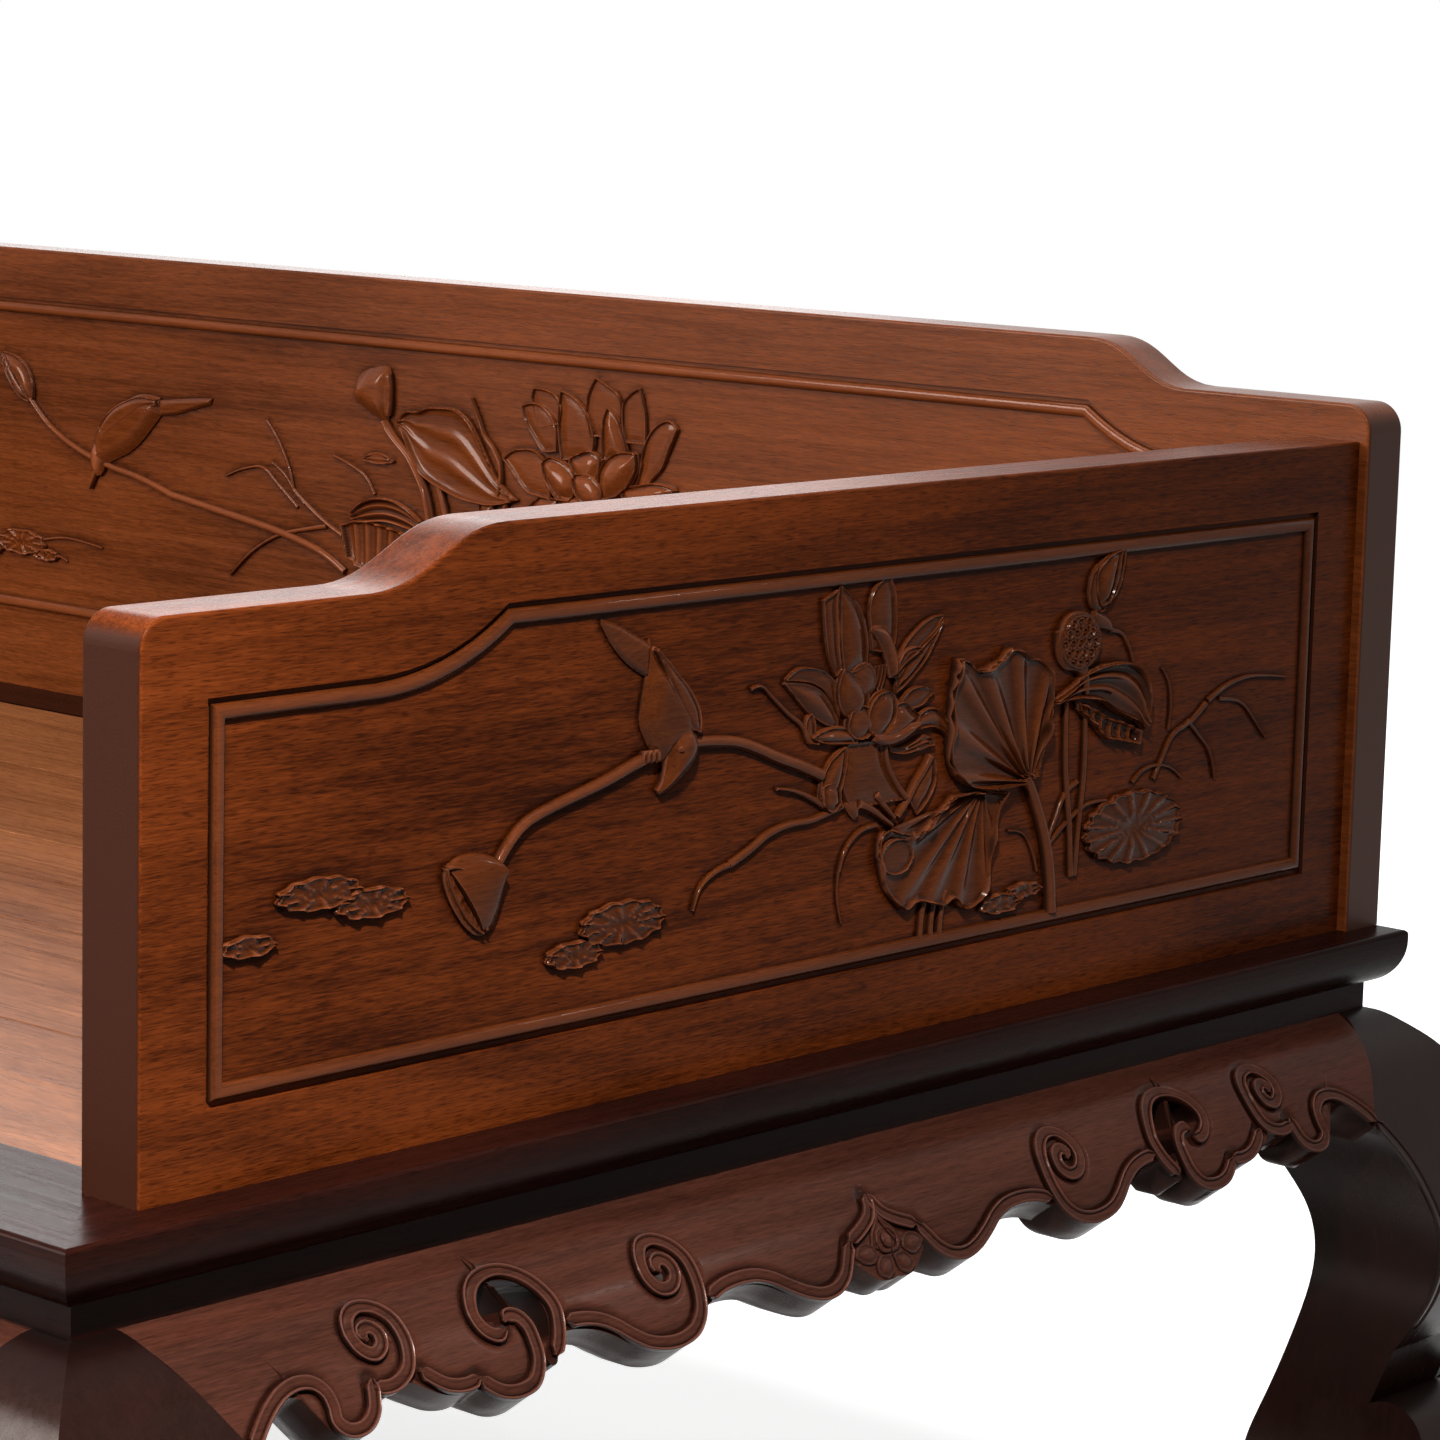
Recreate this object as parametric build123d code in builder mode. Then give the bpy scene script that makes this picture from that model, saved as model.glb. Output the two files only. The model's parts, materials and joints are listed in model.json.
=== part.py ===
"""Luohan daybed: a mitred seat frame on a waist, bulging aprons and cabriole legs,
with three solid-board panels standing round the seat on loose tenons.

Frame: +X along the bed, to the right as seen from its open front, +Y to the rear, +Z up,
millimetres. The origin is on the floor, under the middle of the bed. Pieces are named
left and right as seen from the open front.
"""
from build123d import *
import os

os.makedirs("parts", exist_ok=True)

# ---------------------------------------------------------------- driving sizes
frame_length = 2080.0       # seat frame, outer edge to outer edge
frame_depth = 1084.0
seat_height = 430.0         # floor to the top of the seat frame

fit = 0.2                   # clearance on each side of a sliding or loose joint

# seat frame rails
rail_width = 100.0
rail_thickness = 33.0
rail_arris = 3.0            # rounding along the rail's top outer edge
moulding_straight = 7.0     # upright part of the edge moulding, below the top
moulding_inset = 19.0       # how far the moulding's quarter ellipse runs in
mitre_tenon_width = 40.0
mitre_tenon_thickness = 10.0
mitre_tenon_drop = 10.0     # rail top to the tenon's upper face
mitre_tenon_cover = 20.0    # wood left between the tenon's end and the frame's edge
mitre_tenon_margin = 15.0   # rail's inner edge to the tenon's side

# seat boards and the battens under them
board_count = 5
board_thickness = 16.0
board_sink = 1.0            # boards lie this far below the rails' top
board_joint = 0.6           # gap left between boards for the wood to move
board_arris = 1.0
tongue_length = 8.0
tongue_thickness = 6.0
tongue_drop = 5.0           # board top to the tongue's upper face
batten_count = 5
batten_width = 45.0
batten_depth = 30.0
batten_tenon_length = 20.0
batten_tenon_thickness = 10.0
batten_tenon_width = 30.0
batten_tenon_drop = 2.5     # batten top to the tenon's upper face
batten_dovetail_height = 5.0
batten_dovetail_root = 26.0
batten_dovetail_top = 32.0

# waist
waist_height = 17.0
waist_thickness = 15.0
waist_tongue = 5.0          # height and thickness of the waist's two tongues

# aprons: reach is measured outwards from the frame's edge, drop down from the seat
apron_back_reach = -36.0
apron_bottom_reach = 27.0   # outer end of the apron's underside
apron_heel_reach = -8.0     # inner end of the apron's underside
apron_drop = 125.0          # seat top to the lowest point of the apron
apron_undercut_drop = 85.0  # the back is upright down to here
apron_solid_end = 110.0     # the hollow in the back stops this far short of the frame's end
apron_hollow_drop = 64.0    # top of the hollow
apron_hollow_reach = -16.0  # back of the thinned board, where the hollow's slope ends
apron_hollow_slope_drop = 80.0
apron_hollow_foot_reach = 5.0  # and where it comes out of the underside
pierce_centre = 275.0       # middle of the bed's side to the middle of a pierced scroll
pierce_drop = 79.0
pierce_half_length = 20.0
pierce_half_height = 16.0
pierce_curl_radius = 12.5   # the curl that is left standing in the piercing
pierce_curl_inset = 3.0     # the curl's centre, from the piercing's: towards the middle
pierce_curl_drop = 9.0      # and down

# legs
post_thickness = 60.0
post_setback = 0.3          # the post stands this far behind the aprons' backs
mitre_top_reach = -46.0     # joint line between apron and leg, at its top
mitre_foot_reach = -84.0    # and at its foot, where the leg's inner edge starts
mitre_foot_drop = 106.0
leg_tenon_side = 16.0
leg_tenon_height = 11.0
leg_tenon_near = -50.0      # reach of a tenon's middle from the edge it serves
leg_tenon_far = -80.0
hanger_reach = -80.0        # dovetail that each apron hangs on
hanger_root = 10.0
hanger_top = 14.0
hanger_depth = 8.0
hanger_height = 38.0
scroll_radius = 32.0
scroll_crotch_rise = 28.8   # centre of the scroll up to where it leaves the ankle
foot_inner_reach = -42.0    # underside of the scroll foot, where it stands on its pad
foot_outer_reach = 44.0
pad_height = 22.0
pad_inset = 6.0
pad_arris = 4.0

# panels
side_thickness = 42.0
side_setback = 30.0         # frame's end edge to the side panel's outer face
side_front_setback = 68.0   # frame's front edge to the side panel's front end
side_low = 279.0            # height at the front end
side_high = 308.0           # height at the rear end
side_step_start = 145.0     # front end to where the top edge starts to rise
side_step_end = 238.0
side_corner = 16.0
back_thickness = 36.0
back_overhang = 7.0         # the back panel passes each side panel's outer face
back_low = 331.0
back_high = 359.0
back_step_start = 135.0     # side panel's outer face to the low end of the step
back_step_end = 212.0
back_corner = 18.0
panel_arris = 2.0

# sunk field and bead on the panels
field_margin = 41.0
back_field_foot = 61.0      # seat to the foot of the back panel's field
field_depth = 3.0
bead_gap = 4.0              # quirk between the field's edge and the bead
bead_width = 7.0
bead_height = 2.5
step_lean = 1 / 3           # the field's step moves this share of each further inset

# loose tenons and sliding keys
floor_tenon_length = 45.0
floor_tenon_thickness = 12.0
floor_tenon_half = 14.0     # depth in the rail, and in the panel
back_tenon_count = 6
side_tenon_count = 3
floor_tenon_end = 150.0     # panel end to the middle of its first tenon
key_length = 60.0
key_thickness = 12.0
key_flare = 16.0
key_half = 10.0             # depth in the side panel, and in the back panel
key_heights = (90.0, 200.0)  # seat to the middle of each key

# ---------------------------------------------------------------- derived places
half_length = frame_length / 2
half_depth = frame_depth / 2
rail_bottom = seat_height - rail_thickness
waist_bottom = rail_bottom - waist_height
waist_face = -moulding_inset
waist_back = waist_face - waist_thickness
post_front = apron_back_reach - post_setback
post_back = post_front - post_thickness
seat_half_length = half_length - rail_width
seat_half_depth = half_depth - rail_width
board_top = seat_height - board_sink
board_bottom = board_top - board_thickness
side_outer = half_length - side_setback
side_inner = side_outer - side_thickness
side_front = -half_depth + side_front_setback
back_front = half_depth - back_thickness
back_half_length = side_outer + back_overhang
waist_drop = rail_thickness + waist_height
cut_height = 2 * seat_height        # taller than any piece that a plan cuts
past_leg = 3 * mitre_foot_reach     # reach of a place well inside the leg


def save(piece, name):
    """Label a finished piece and write its STEP file."""
    piece.part.label = name
    export_step(piece.part, f"parts/{name}.step")


def mirrored(source, plane):
    """The same piece on the other side of a plane."""
    with BuildPart() as other:
        mirror(source.part, about=plane)
    return other


def turned_end(source):
    """The same piece at the opposite corner or side, turned half round about Z."""
    with BuildPart() as other:
        add(source.part.rotate(Axis.Z, 180))
    return other


# ---------------------------------------------------------------- seat frame
def rail_section(edge):
    """Section of a rail whose moulded edge is at local x = edge, growing to smaller x."""
    with BuildSketch() as section:
        with BuildLine():
            top = seat_height
            upright_end = top - moulding_straight
            Polyline(
                (edge - moulding_inset, rail_bottom),
                (edge - rail_width, rail_bottom),
                (edge - rail_width, top),
                (edge - rail_arris, top),
            )
            RadiusArc((edge - rail_arris, top), (edge, top - rail_arris), rail_arris)
            Line((edge, top - rail_arris), (edge, upright_end))
            EllipticalCenterArc(
                (edge - moulding_inset, upright_end),
                moulding_inset,
                upright_end - rail_bottom,
                start_angle=-90,
                arc_size=90,
            )
        make_face()
    return section.sketch


def mitred_bar(section, half_span, half_run):
    """A bar with its outer edge at x = half_span, running +-half_run along Y, mitred at
    both ends so that four such bars close a rectangle."""
    with BuildPart() as bar:
        with BuildSketch(Plane.XZ) as profile:
            add(section)
        extrude(amount=half_run, both=True)
        with BuildSketch(Plane.XY) as plan:
            with BuildLine():
                Polyline(
                    (half_span, -half_run),
                    (half_span, half_run),
                    (half_span - half_run, 0),
                    close=True,
                )
            make_face()
        extrude(amount=cut_height, mode=Mode.INTERSECT)
    return bar


def box_between(low, high, mode=Mode.ADD):
    """A box given by its lowest and highest corners."""
    size = [b - a for a, b in zip(low, high)]
    middle = [(a + b) / 2 for a, b in zip(low, high)]
    with Locations(tuple(middle)):
        Box(*size, mode=mode)


def waist_groove(half_span, half_run):
    """Cut the groove for the waist's upper tongue in a rail's underside."""
    centre = half_span + (waist_face + waist_back) / 2
    half = waist_tongue / 2 + fit
    box_between(
        (centre - half, -half_run - waist_face, rail_bottom),
        (centre + half, half_run + waist_face, rail_bottom + waist_tongue + fit),
        mode=Mode.SUBTRACT,
    )


def seat_groove(half_span, half_run):
    """Cut the groove for the seat boards' tongues in a rail's inner edge."""
    inner = half_span - rail_width
    top = board_top - tongue_drop
    reach = half_run - rail_width
    box_between(
        (inner, -reach, top - tongue_thickness - fit),
        (inner + tongue_length + fit, reach, top + fit),
        mode=Mode.SUBTRACT,
    )


def leg_mortises(half_span, half_run):
    """Cut the two mortises for the legs' tenons in a rail's underside."""
    half = leg_tenon_side / 2 + fit
    for end in (-1, 1):
        x = half_span + leg_tenon_near
        y = end * (half_run + leg_tenon_far)
        box_between(
            (x - half, y - half, rail_bottom),
            (x + half, y + half, rail_bottom + leg_tenon_height + fit),
            mode=Mode.SUBTRACT,
        )


def tenon_places(low, high, count):
    """Middles of a row of evenly spaced tenons."""
    step = (high - low) / (count - 1)
    return [low + step * i for i in range(count)]


side_tenon_y = tenon_places(side_front + floor_tenon_end, back_front - floor_tenon_end, side_tenon_count)
back_tenon_x = tenon_places(
    -back_half_length + floor_tenon_end, back_half_length - floor_tenon_end, back_tenon_count
)
side_tenon_x = (side_inner + side_outer) / 2
back_tenon_y = (back_front + half_depth) / 2


def floor_tenon(x, y, along_y, room, mode=Mode.ADD):
    """One loose tenon between a rail and a panel, or its mortise when room is the fit."""
    half_long = floor_tenon_length / 2 + room
    half_thin = floor_tenon_thickness / 2 + room
    half_x, half_y = (half_thin, half_long) if along_y else (half_long, half_thin)
    box_between(
        (x - half_x, y - half_y, seat_height - floor_tenon_half - room),
        (x + half_x, y + half_y, seat_height + floor_tenon_half + room),
        mode=mode,
    )


def mitre_tenon_box(end_x, end_y, room, mode):
    """The tenon across one frame corner; it belongs to the long rail."""
    top = seat_height - mitre_tenon_drop
    y_inner = half_depth - rail_width + mitre_tenon_margin
    y_outer = y_inner + mitre_tenon_width
    x_inner = half_length - rail_width
    x_outer = half_length - mitre_tenon_cover
    low_x, high_x = sorted((end_x * x_inner, end_x * (x_outer + room)))
    low_y, high_y = sorted((end_y * (y_inner - room), end_y * (y_outer + room)))
    box_between(
        (low_x, low_y, top - mitre_tenon_thickness - room),
        (high_x, high_y, top + room),
        mode=mode,
    )


with BuildPart() as right_end_rail:
    add(mitred_bar(rail_section(half_length), half_length, half_depth).part)
    for corner in (-1, 1):
        mitre_tenon_box(1, corner, fit, Mode.SUBTRACT)
    waist_groove(half_length, half_depth)
    seat_groove(half_length, half_depth)
    leg_mortises(half_length, half_depth)
    for tenon_y in side_tenon_y:
        floor_tenon(side_tenon_x, tenon_y, True, fit, Mode.SUBTRACT)
save(right_end_rail, "right_end_rail")

left_end_rail = mirrored(right_end_rail, Plane.YZ)
save(left_end_rail, "left_end_rail")

batten_pitch = 2 * seat_half_length / batten_count
batten_x = [-seat_half_length + batten_pitch * (i + 0.5) for i in range(batten_count)]
batten_top = board_bottom
batten_tenon_top = batten_top - batten_tenon_drop

# The rear rail is drawn with its outer edge on +X and then turned to +Y.
with BuildPart() as plain_long_rail:
    add(mitred_bar(rail_section(half_depth), half_depth, half_length).part)
    waist_groove(half_depth, half_length)
    seat_groove(half_depth, half_length)
    leg_mortises(half_depth, half_length)


def long_rail(end_y):
    """A long rail with its mitre tenons and the mortises for the seat battens."""
    with BuildPart() as rail:
        add(plain_long_rail.part.rotate(Axis.Z, 90 * end_y))
        for end_x in (-1, 1):
            mitre_tenon_box(end_x, end_y, 0, Mode.ADD)
        for x in batten_x:
            y_in, y_out = sorted((
                end_y * seat_half_depth,
                end_y * (seat_half_depth + batten_tenon_length + fit),
            ))
            half = batten_tenon_width / 2 + fit
            box_between(
                (x - half, y_in, batten_tenon_top - batten_tenon_thickness - fit),
                (x + half, y_out, batten_tenon_top + fit),
                mode=Mode.SUBTRACT,
            )
    return rail


front_rail = long_rail(-1)
save(front_rail, "front_rail")

with BuildPart() as rear_rail:
    add(long_rail(1).part)
    for tenon_x in back_tenon_x:
        floor_tenon(tenon_x, back_tenon_y, False, fit, Mode.SUBTRACT)
save(rear_rail, "rear_rail")


# ---------------------------------------------------------------- seat boards and battens
board_pitch = 2 * seat_half_depth / board_count


def batten_groove(x):
    """Cut the dovetail groove for one batten across the underside of a board."""
    with BuildSketch(Plane.XZ.offset(-half_depth)) as groove:
        with BuildLine():
            root = batten_dovetail_root / 2 + fit
            top = batten_dovetail_top / 2 + fit
            rise = board_bottom + batten_dovetail_height + fit
            Polyline((x - root, board_bottom), (x + root, board_bottom),
                     (x + top, rise), (x - top, rise), close=True)
        make_face()
    extrude(groove.sketch, amount=frame_depth, mode=Mode.SUBTRACT)


def seat_board(index):
    """One board: a tongue at each end and on its rear edge, a groove in its front edge.
    The first and last boards have a tongue that enters the long rail instead."""
    y_low = -seat_half_depth + board_pitch * index + (board_joint / 2 if index else fit)
    last = index == board_count - 1
    y_high = -seat_half_depth + board_pitch * (index + 1) - (fit if last else board_joint / 2)
    tongue_top = board_top - tongue_drop
    tongue_low = tongue_top - tongue_thickness
    with BuildPart() as board:
        half = seat_half_length - fit
        box_between((-half, y_low, board_bottom), (half, y_high, board_top))
        fillet(board.edges().group_by(Axis.Z)[-1].filter_by(Axis.X), board_arris)
        reach = half + tongue_length
        box_between((-reach, y_low + tongue_length, tongue_low), (reach, y_high, tongue_top))
        box_between((-half, y_high, tongue_low), (half, y_high + tongue_length - fit, tongue_top))
        if index == 0:
            box_between((-half, y_low - tongue_length + fit, tongue_low), (half, y_low, tongue_top))
        else:
            box_between(
                (-half, y_low, tongue_low - fit),
                (half, y_low + tongue_length, tongue_top + fit),
                mode=Mode.SUBTRACT,
            )
        for x in batten_x:
            batten_groove(x)
    return board


for number in range(board_count):
    save(seat_board(number), f"seat_board_{number + 1}")


def seat_batten(x):
    """One batten: a dovetail rib along its top and a tenon at each end."""
    half = seat_half_depth - fit
    with BuildPart() as batten:
        box_between(
            (x - batten_width / 2, -half, batten_top - batten_depth),
            (x + batten_width / 2, half, batten_top),
        )
        fillet(batten.edges().group_by(Axis.Z)[0].filter_by(Axis.Y), panel_arris)
        with BuildSketch(Plane.XZ.offset(-half)) as rib:
            with BuildLine():
                root = batten_dovetail_root / 2
                top = batten_dovetail_top / 2
                rise = batten_top + batten_dovetail_height
                Polyline((x - root, batten_top), (x + root, batten_top),
                         (x + top, rise), (x - top, rise), close=True)
            make_face()
        extrude(amount=2 * half)
        tenon_reach = half + batten_tenon_length
        box_between(
            (x - batten_tenon_width / 2, -tenon_reach, batten_tenon_top - batten_tenon_thickness),
            (x + batten_tenon_width / 2, tenon_reach, batten_tenon_top),
        )
    return batten


for number, place in enumerate(batten_x):
    save(seat_batten(place), f"seat_batten_{number + 1}")


# ---------------------------------------------------------------- waist
def waist_board(half_span, half_run):
    """One waist board with its outer face to +X, mitred, with a tongue up into the rail
    and a shorter one down into the apron, which stops before the legs."""
    with BuildSketch() as section:
        with Locations(((2 * half_span + waist_face + waist_back) / 2, (rail_bottom + waist_bottom) / 2)):
            Rectangle(waist_thickness, waist_height)
        with Locations(((2 * half_span + waist_face + waist_back) / 2, rail_bottom + waist_tongue / 2)):
            Rectangle(waist_tongue, waist_tongue)
    with BuildPart() as board:
        add(mitred_bar(section.sketch, half_span, half_run).part)
        centre = half_span + (waist_face + waist_back) / 2
        reach = half_run + post_back - fit
        box_between(
            (centre - waist_tongue / 2, -reach, waist_bottom - waist_tongue),
            (centre + waist_tongue / 2, reach, waist_bottom),
        )
    return board


waist_right = waist_board(half_length, half_depth)
save(waist_right, "waist_right")
save(turned_end(waist_right), "waist_left")

with BuildPart() as waist_rear:
    add(waist_board(half_depth, half_length).part.rotate(Axis.Z, 90))
save(waist_rear, "waist_rear")
save(turned_end(waist_rear), "waist_front")


# ---------------------------------------------------------------- aprons
# The bulging face, from the waist down: reach from the frame's edge, drop from the seat.
bulge = ((waist_face, waist_drop), (-1.6, 58.0), (17.0, 74.0), (28.0, 90.0), (34.5, 101.0), (41.0, 113.0))
bulge_start = (1, -0.1)     # direction of the bulge where it leaves the waist
bulge_end = (0.5, -1)

# Lower edge of a half apron: distance from the bed's middle, drop from the seat. Each
# run is a smooth curve, and the runs meet in cusps. The short side uses it as it stands.
# A longer apron has a longer quiet stretch, with the pierced scroll and its lobes once
# more in the middle of it where there is room. A shorter one has it all drawn together.
middle_runs = (
    ((0, 121), (14, 119), (25, 113)),
    ((25, 113), (42, 120), (60, 122), (78, 119), (100, 109), (118, 106), (140, 110)),
)
end_runs = (
    ((140, 110), (160, 120), (178, 123.5), (195, 120), (218, 110), (238, 104)),
    ((238, 104), (254, 114), (270, 120.5), (288, 123.5), (303, 120.5), (315, 117)),
    ((315, 117), (332, 113), (354, 104.5)),
    ((354, 104.5), (366, 108), (388, 122), (404, 117), (413, 102), (427, 98)),
)
pattern_half = 541.0        # half length of the side that the runs were laid out on
scroll_runs = 3             # the first of end_runs, which make up the pierced scroll's group


def squeeze(half_run):
    """How much the pattern's distances shrink on an apron that is shorter than it."""
    return min(1, (half_run + mitre_foot_reach) / (pattern_half + mitre_foot_reach))


def scroll_shifts(half_run):
    """How far the pierced scroll's group is moved out from its place on the short side,
    once for each group on a half apron."""
    shift = max(0, half_run - pattern_half)
    group = end_runs[scroll_runs - 1][-1][0] - end_runs[0][0][0]
    return [shift / 2, shift] if shift > 2 * group else [shift]


def lower_edge(half_run):
    """Points of the lower edge for a half apron of the given half run."""
    tightness = squeeze(half_run)

    def moved(run, shift):
        return [(tightness * (d + shift), seat_height - drop) for d, drop in run]

    runs = [moved(run, 0) for run in middle_runs]
    for shift in scroll_shifts(half_run):
        group = [moved(run, shift) for run in end_runs[:scroll_runs]]
        if group[0][0][0] > runs[-1][-1][0]:
            runs.append([runs[-1][-1], group[0][0]])
        runs += group
    last_shift = scroll_shifts(half_run)[-1]
    runs += [moved(run, last_shift) for run in end_runs[scroll_runs:]]
    runs[-1].append((half_run + mitre_foot_reach, seat_height - mitre_foot_drop))
    return runs


def apron_face(half_run):
    """Half of the apron in elevation, from the middle to the mitred joint with the leg."""
    runs = lower_edge(half_run)
    with BuildSketch() as face:
        with BuildLine():
            for run in runs:
                if len(run) == 2:
                    Line(*run)
                else:
                    Spline(*run)
            Polyline(
                runs[-1][-1],
                (half_run + mitre_top_reach, waist_bottom),
                (0, waist_bottom),
                runs[0][0],
            )
        make_face()
    return face.sketch


def piercings(half_run):
    """The comma-shaped holes of a half apron, each a disc with its curl left standing."""
    with BuildSketch() as holes:
        for shift in scroll_shifts(half_run):
            x = squeeze(half_run) * (pierce_centre + shift)
            y = seat_height - pierce_drop
            with Locations((x, y)):
                Ellipse(pierce_half_length, pierce_half_height)
            with Locations((x - pierce_curl_inset, y - pierce_curl_drop)):
                Circle(pierce_curl_radius, mode=Mode.SUBTRACT)
            with Locations((x, y - pierce_half_length)):
                Rectangle(3 * pierce_half_length, pierce_half_length, mode=Mode.SUBTRACT)
    return holes.sketch


def apron(half_span, half_run):
    """One apron with its face to +X: the bulged section run along Y, cut to the scalloped
    outline, pierced, grooved for the waist and slotted for the legs' hanging dovetails."""
    with BuildPart() as board:
        with BuildSketch(Plane.XZ) as section:
            with BuildLine():
                face_points = [(half_span + r, seat_height - d) for r, d in bulge]
                Spline(*face_points, tangents=(bulge_start, bulge_end))
                Polyline(
                    face_points[-1],
                    (half_span + apron_bottom_reach, seat_height - apron_drop),
                    (half_span + apron_heel_reach, seat_height - apron_drop),
                    (half_span + apron_back_reach, seat_height - apron_undercut_drop),
                    (half_span + apron_back_reach, waist_bottom),
                    face_points[0],
                )
            make_face()
        extrude(amount=half_run, both=True)
        half_face = apron_face(half_run)
        with BuildSketch(Plane.YZ) as elevation:
            add(half_face)
            mirror(half_face, about=Plane.YZ)
        extrude(amount=2 * half_span, mode=Mode.INTERSECT)
        with BuildSketch(Plane.YZ) as holes:
            add(piercings(half_run))
            mirror(piercings(half_run), about=Plane.YZ)
        extrude(amount=2 * half_span, mode=Mode.SUBTRACT)
        centre = half_span + (waist_face + waist_back) / 2
        half = waist_tongue / 2 + fit
        reach = half_run + post_back
        box_between(
            (centre - half, -reach, waist_bottom - waist_tongue - fit),
            (centre + half, reach, waist_bottom),
            mode=Mode.SUBTRACT,
        )
        with BuildSketch(Plane.XZ) as hollow:
            with BuildLine():
                past_back = half_span + 2 * apron_back_reach
                below = seat_height - 2 * apron_drop
                Polyline(
                    (past_back, seat_height - apron_hollow_drop),
                    (half_span + apron_back_reach, seat_height - apron_hollow_drop),
                    (half_span + apron_hollow_reach, seat_height - apron_hollow_slope_drop),
                    (half_span + apron_hollow_foot_reach, seat_height - apron_drop),
                    (half_span + apron_hollow_foot_reach, below),
                    (past_back, below),
                    close=True,
                )
            make_face()
        extrude(amount=half_run - apron_solid_end, both=True, mode=Mode.SUBTRACT)
        for end in (-1, 1):
            hanger(half_span, end * (half_run + hanger_reach), fit, seat_height - apron_drop,
                   waist_bottom - waist_tongue, Mode.SUBTRACT)
    return board


def hanger(span, run, room, low, high, mode, to_rear=False):
    """The dovetail on a leg's post that an apron hangs on, or its slot in the apron. It
    stands out towards +X from the side at span, or towards +Y where it is to_rear."""
    root = hanger_root / 2 + room
    top = hanger_top / 2 + room
    near = span + post_front
    far = near + hanger_depth + post_setback + room
    corners = [(near, run - root), (far, run - top), (far, run + top), (near, run + root)]
    if to_rear:
        corners = [(y, x) for x, y in corners]
    with BuildSketch(Plane.XY.offset(low)) as tail:
        with BuildLine():
            Polyline(*corners, close=True)
        make_face()
    extrude(tail.sketch, amount=high - low, mode=mode)


apron_right = apron(half_length, half_depth)
save(apron_right, "apron_right")
save(turned_end(apron_right), "apron_left")

with BuildPart() as apron_rear:
    add(apron(half_depth, half_length).part.rotate(Axis.Z, 90))
save(apron_rear, "apron_rear")
save(turned_end(apron_rear), "apron_front")


# ---------------------------------------------------------------- legs
# Lines of the leg below the apron: the outer line down, the inner line from the sole up,
# the scroll's centre and a point of the foot below it. Each point has its reach from the
# frame's edge, and its share of the way from the mitre's foot (0) down to the sole (1).
leg_outer = ((52.0, 0.129), (59.5, 0.278), (52.0, 0.381), (34.0, 0.497))
leg_inner = ((-54.0, 0.921), (-63.0, 0.841), (-64.0, 0.781), (-56.0, 0.669),
             (-42.0, 0.493), (-35.4, 0.341), (-41.0, 0.232), (-57.0, 0.116))
scroll_centre = (36.0, 0.715)
scroll_heel = (60.0, 0.848)


def leg_profile(half_span):
    """Side view of a leg against the edge at half_span: cabriole bow and scroll foot."""
    mitre_foot = (half_span + mitre_foot_reach, seat_height - mitre_foot_drop)
    leg_drop = mitre_foot[1] - pad_height

    def at(reach, share):
        return (half_span + reach, mitre_foot[1] - share * leg_drop)

    scroll_x, scroll_z = at(*scroll_centre)
    crotch_run = (scroll_radius ** 2 - scroll_crotch_rise ** 2) ** 0.5
    crotch = (scroll_x - crotch_run, scroll_z + scroll_crotch_rise)
    shoulder = 2 ** -0.5 * scroll_radius
    widest = (scroll_x + scroll_radius, scroll_z)
    with BuildSketch() as profile:
        with BuildLine():
            upper = [(half_span + reach, seat_height - drop) for reach, drop in bulge]
            Spline(*upper, *[at(*point) for point in leg_outer], crotch, tangents=(bulge_start, (-0.3, -1)))
            ThreePointArc(crotch, (scroll_x + shoulder, scroll_z + shoulder), widest)
            Spline(widest, at(*scroll_heel), (half_span + foot_outer_reach, pad_height),
                   tangents=((0, -1), (-0.7, -1)))
            Line((half_span + foot_outer_reach, pad_height), (half_span + foot_inner_reach, pad_height))
            Spline((half_span + foot_inner_reach, pad_height), *[at(*point) for point in leg_inner],
                   mitre_foot, tangents=((-0.9, 1), (-1, 0.55)))
            Polyline(
                mitre_foot,
                (half_span + post_back, mitre_foot[1]),
                (half_span + post_back, waist_bottom),
                (half_span + waist_face, waist_bottom),
            )
        make_face()
    return profile.sketch


# Upright plane through a corner of the frame, which is the mitre of a leg's two bows.
diagonal = Plane(origin=(half_length, half_depth, 0), z_dir=(1, -1, 0))

with BuildPart() as apron_bed:
    with BuildSketch(Plane.YZ.offset(half_length + post_front)) as bed_outline:
        with BuildLine():
            Polyline(
                (half_depth + mitre_top_reach, waist_bottom),
                (half_depth + mitre_foot_reach, seat_height - mitre_foot_drop),
                (half_depth + past_leg, seat_height - mitre_foot_drop),
                (half_depth + past_leg, waist_bottom),
                close=True,
            )
        make_face()
    extrude(amount=-past_leg)

with BuildPart() as half_leg:
    with BuildSketch(Plane.XZ) as side_view:
        add(leg_profile(half_length))
    extrude(amount=-2 * half_depth)
    split(bisect_by=diagonal, keep=Keep.TOP)
    with BuildSketch(Plane.YZ) as end_view:
        add(leg_profile(half_depth))
    extrude(amount=2 * half_length, mode=Mode.INTERSECT)

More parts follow.
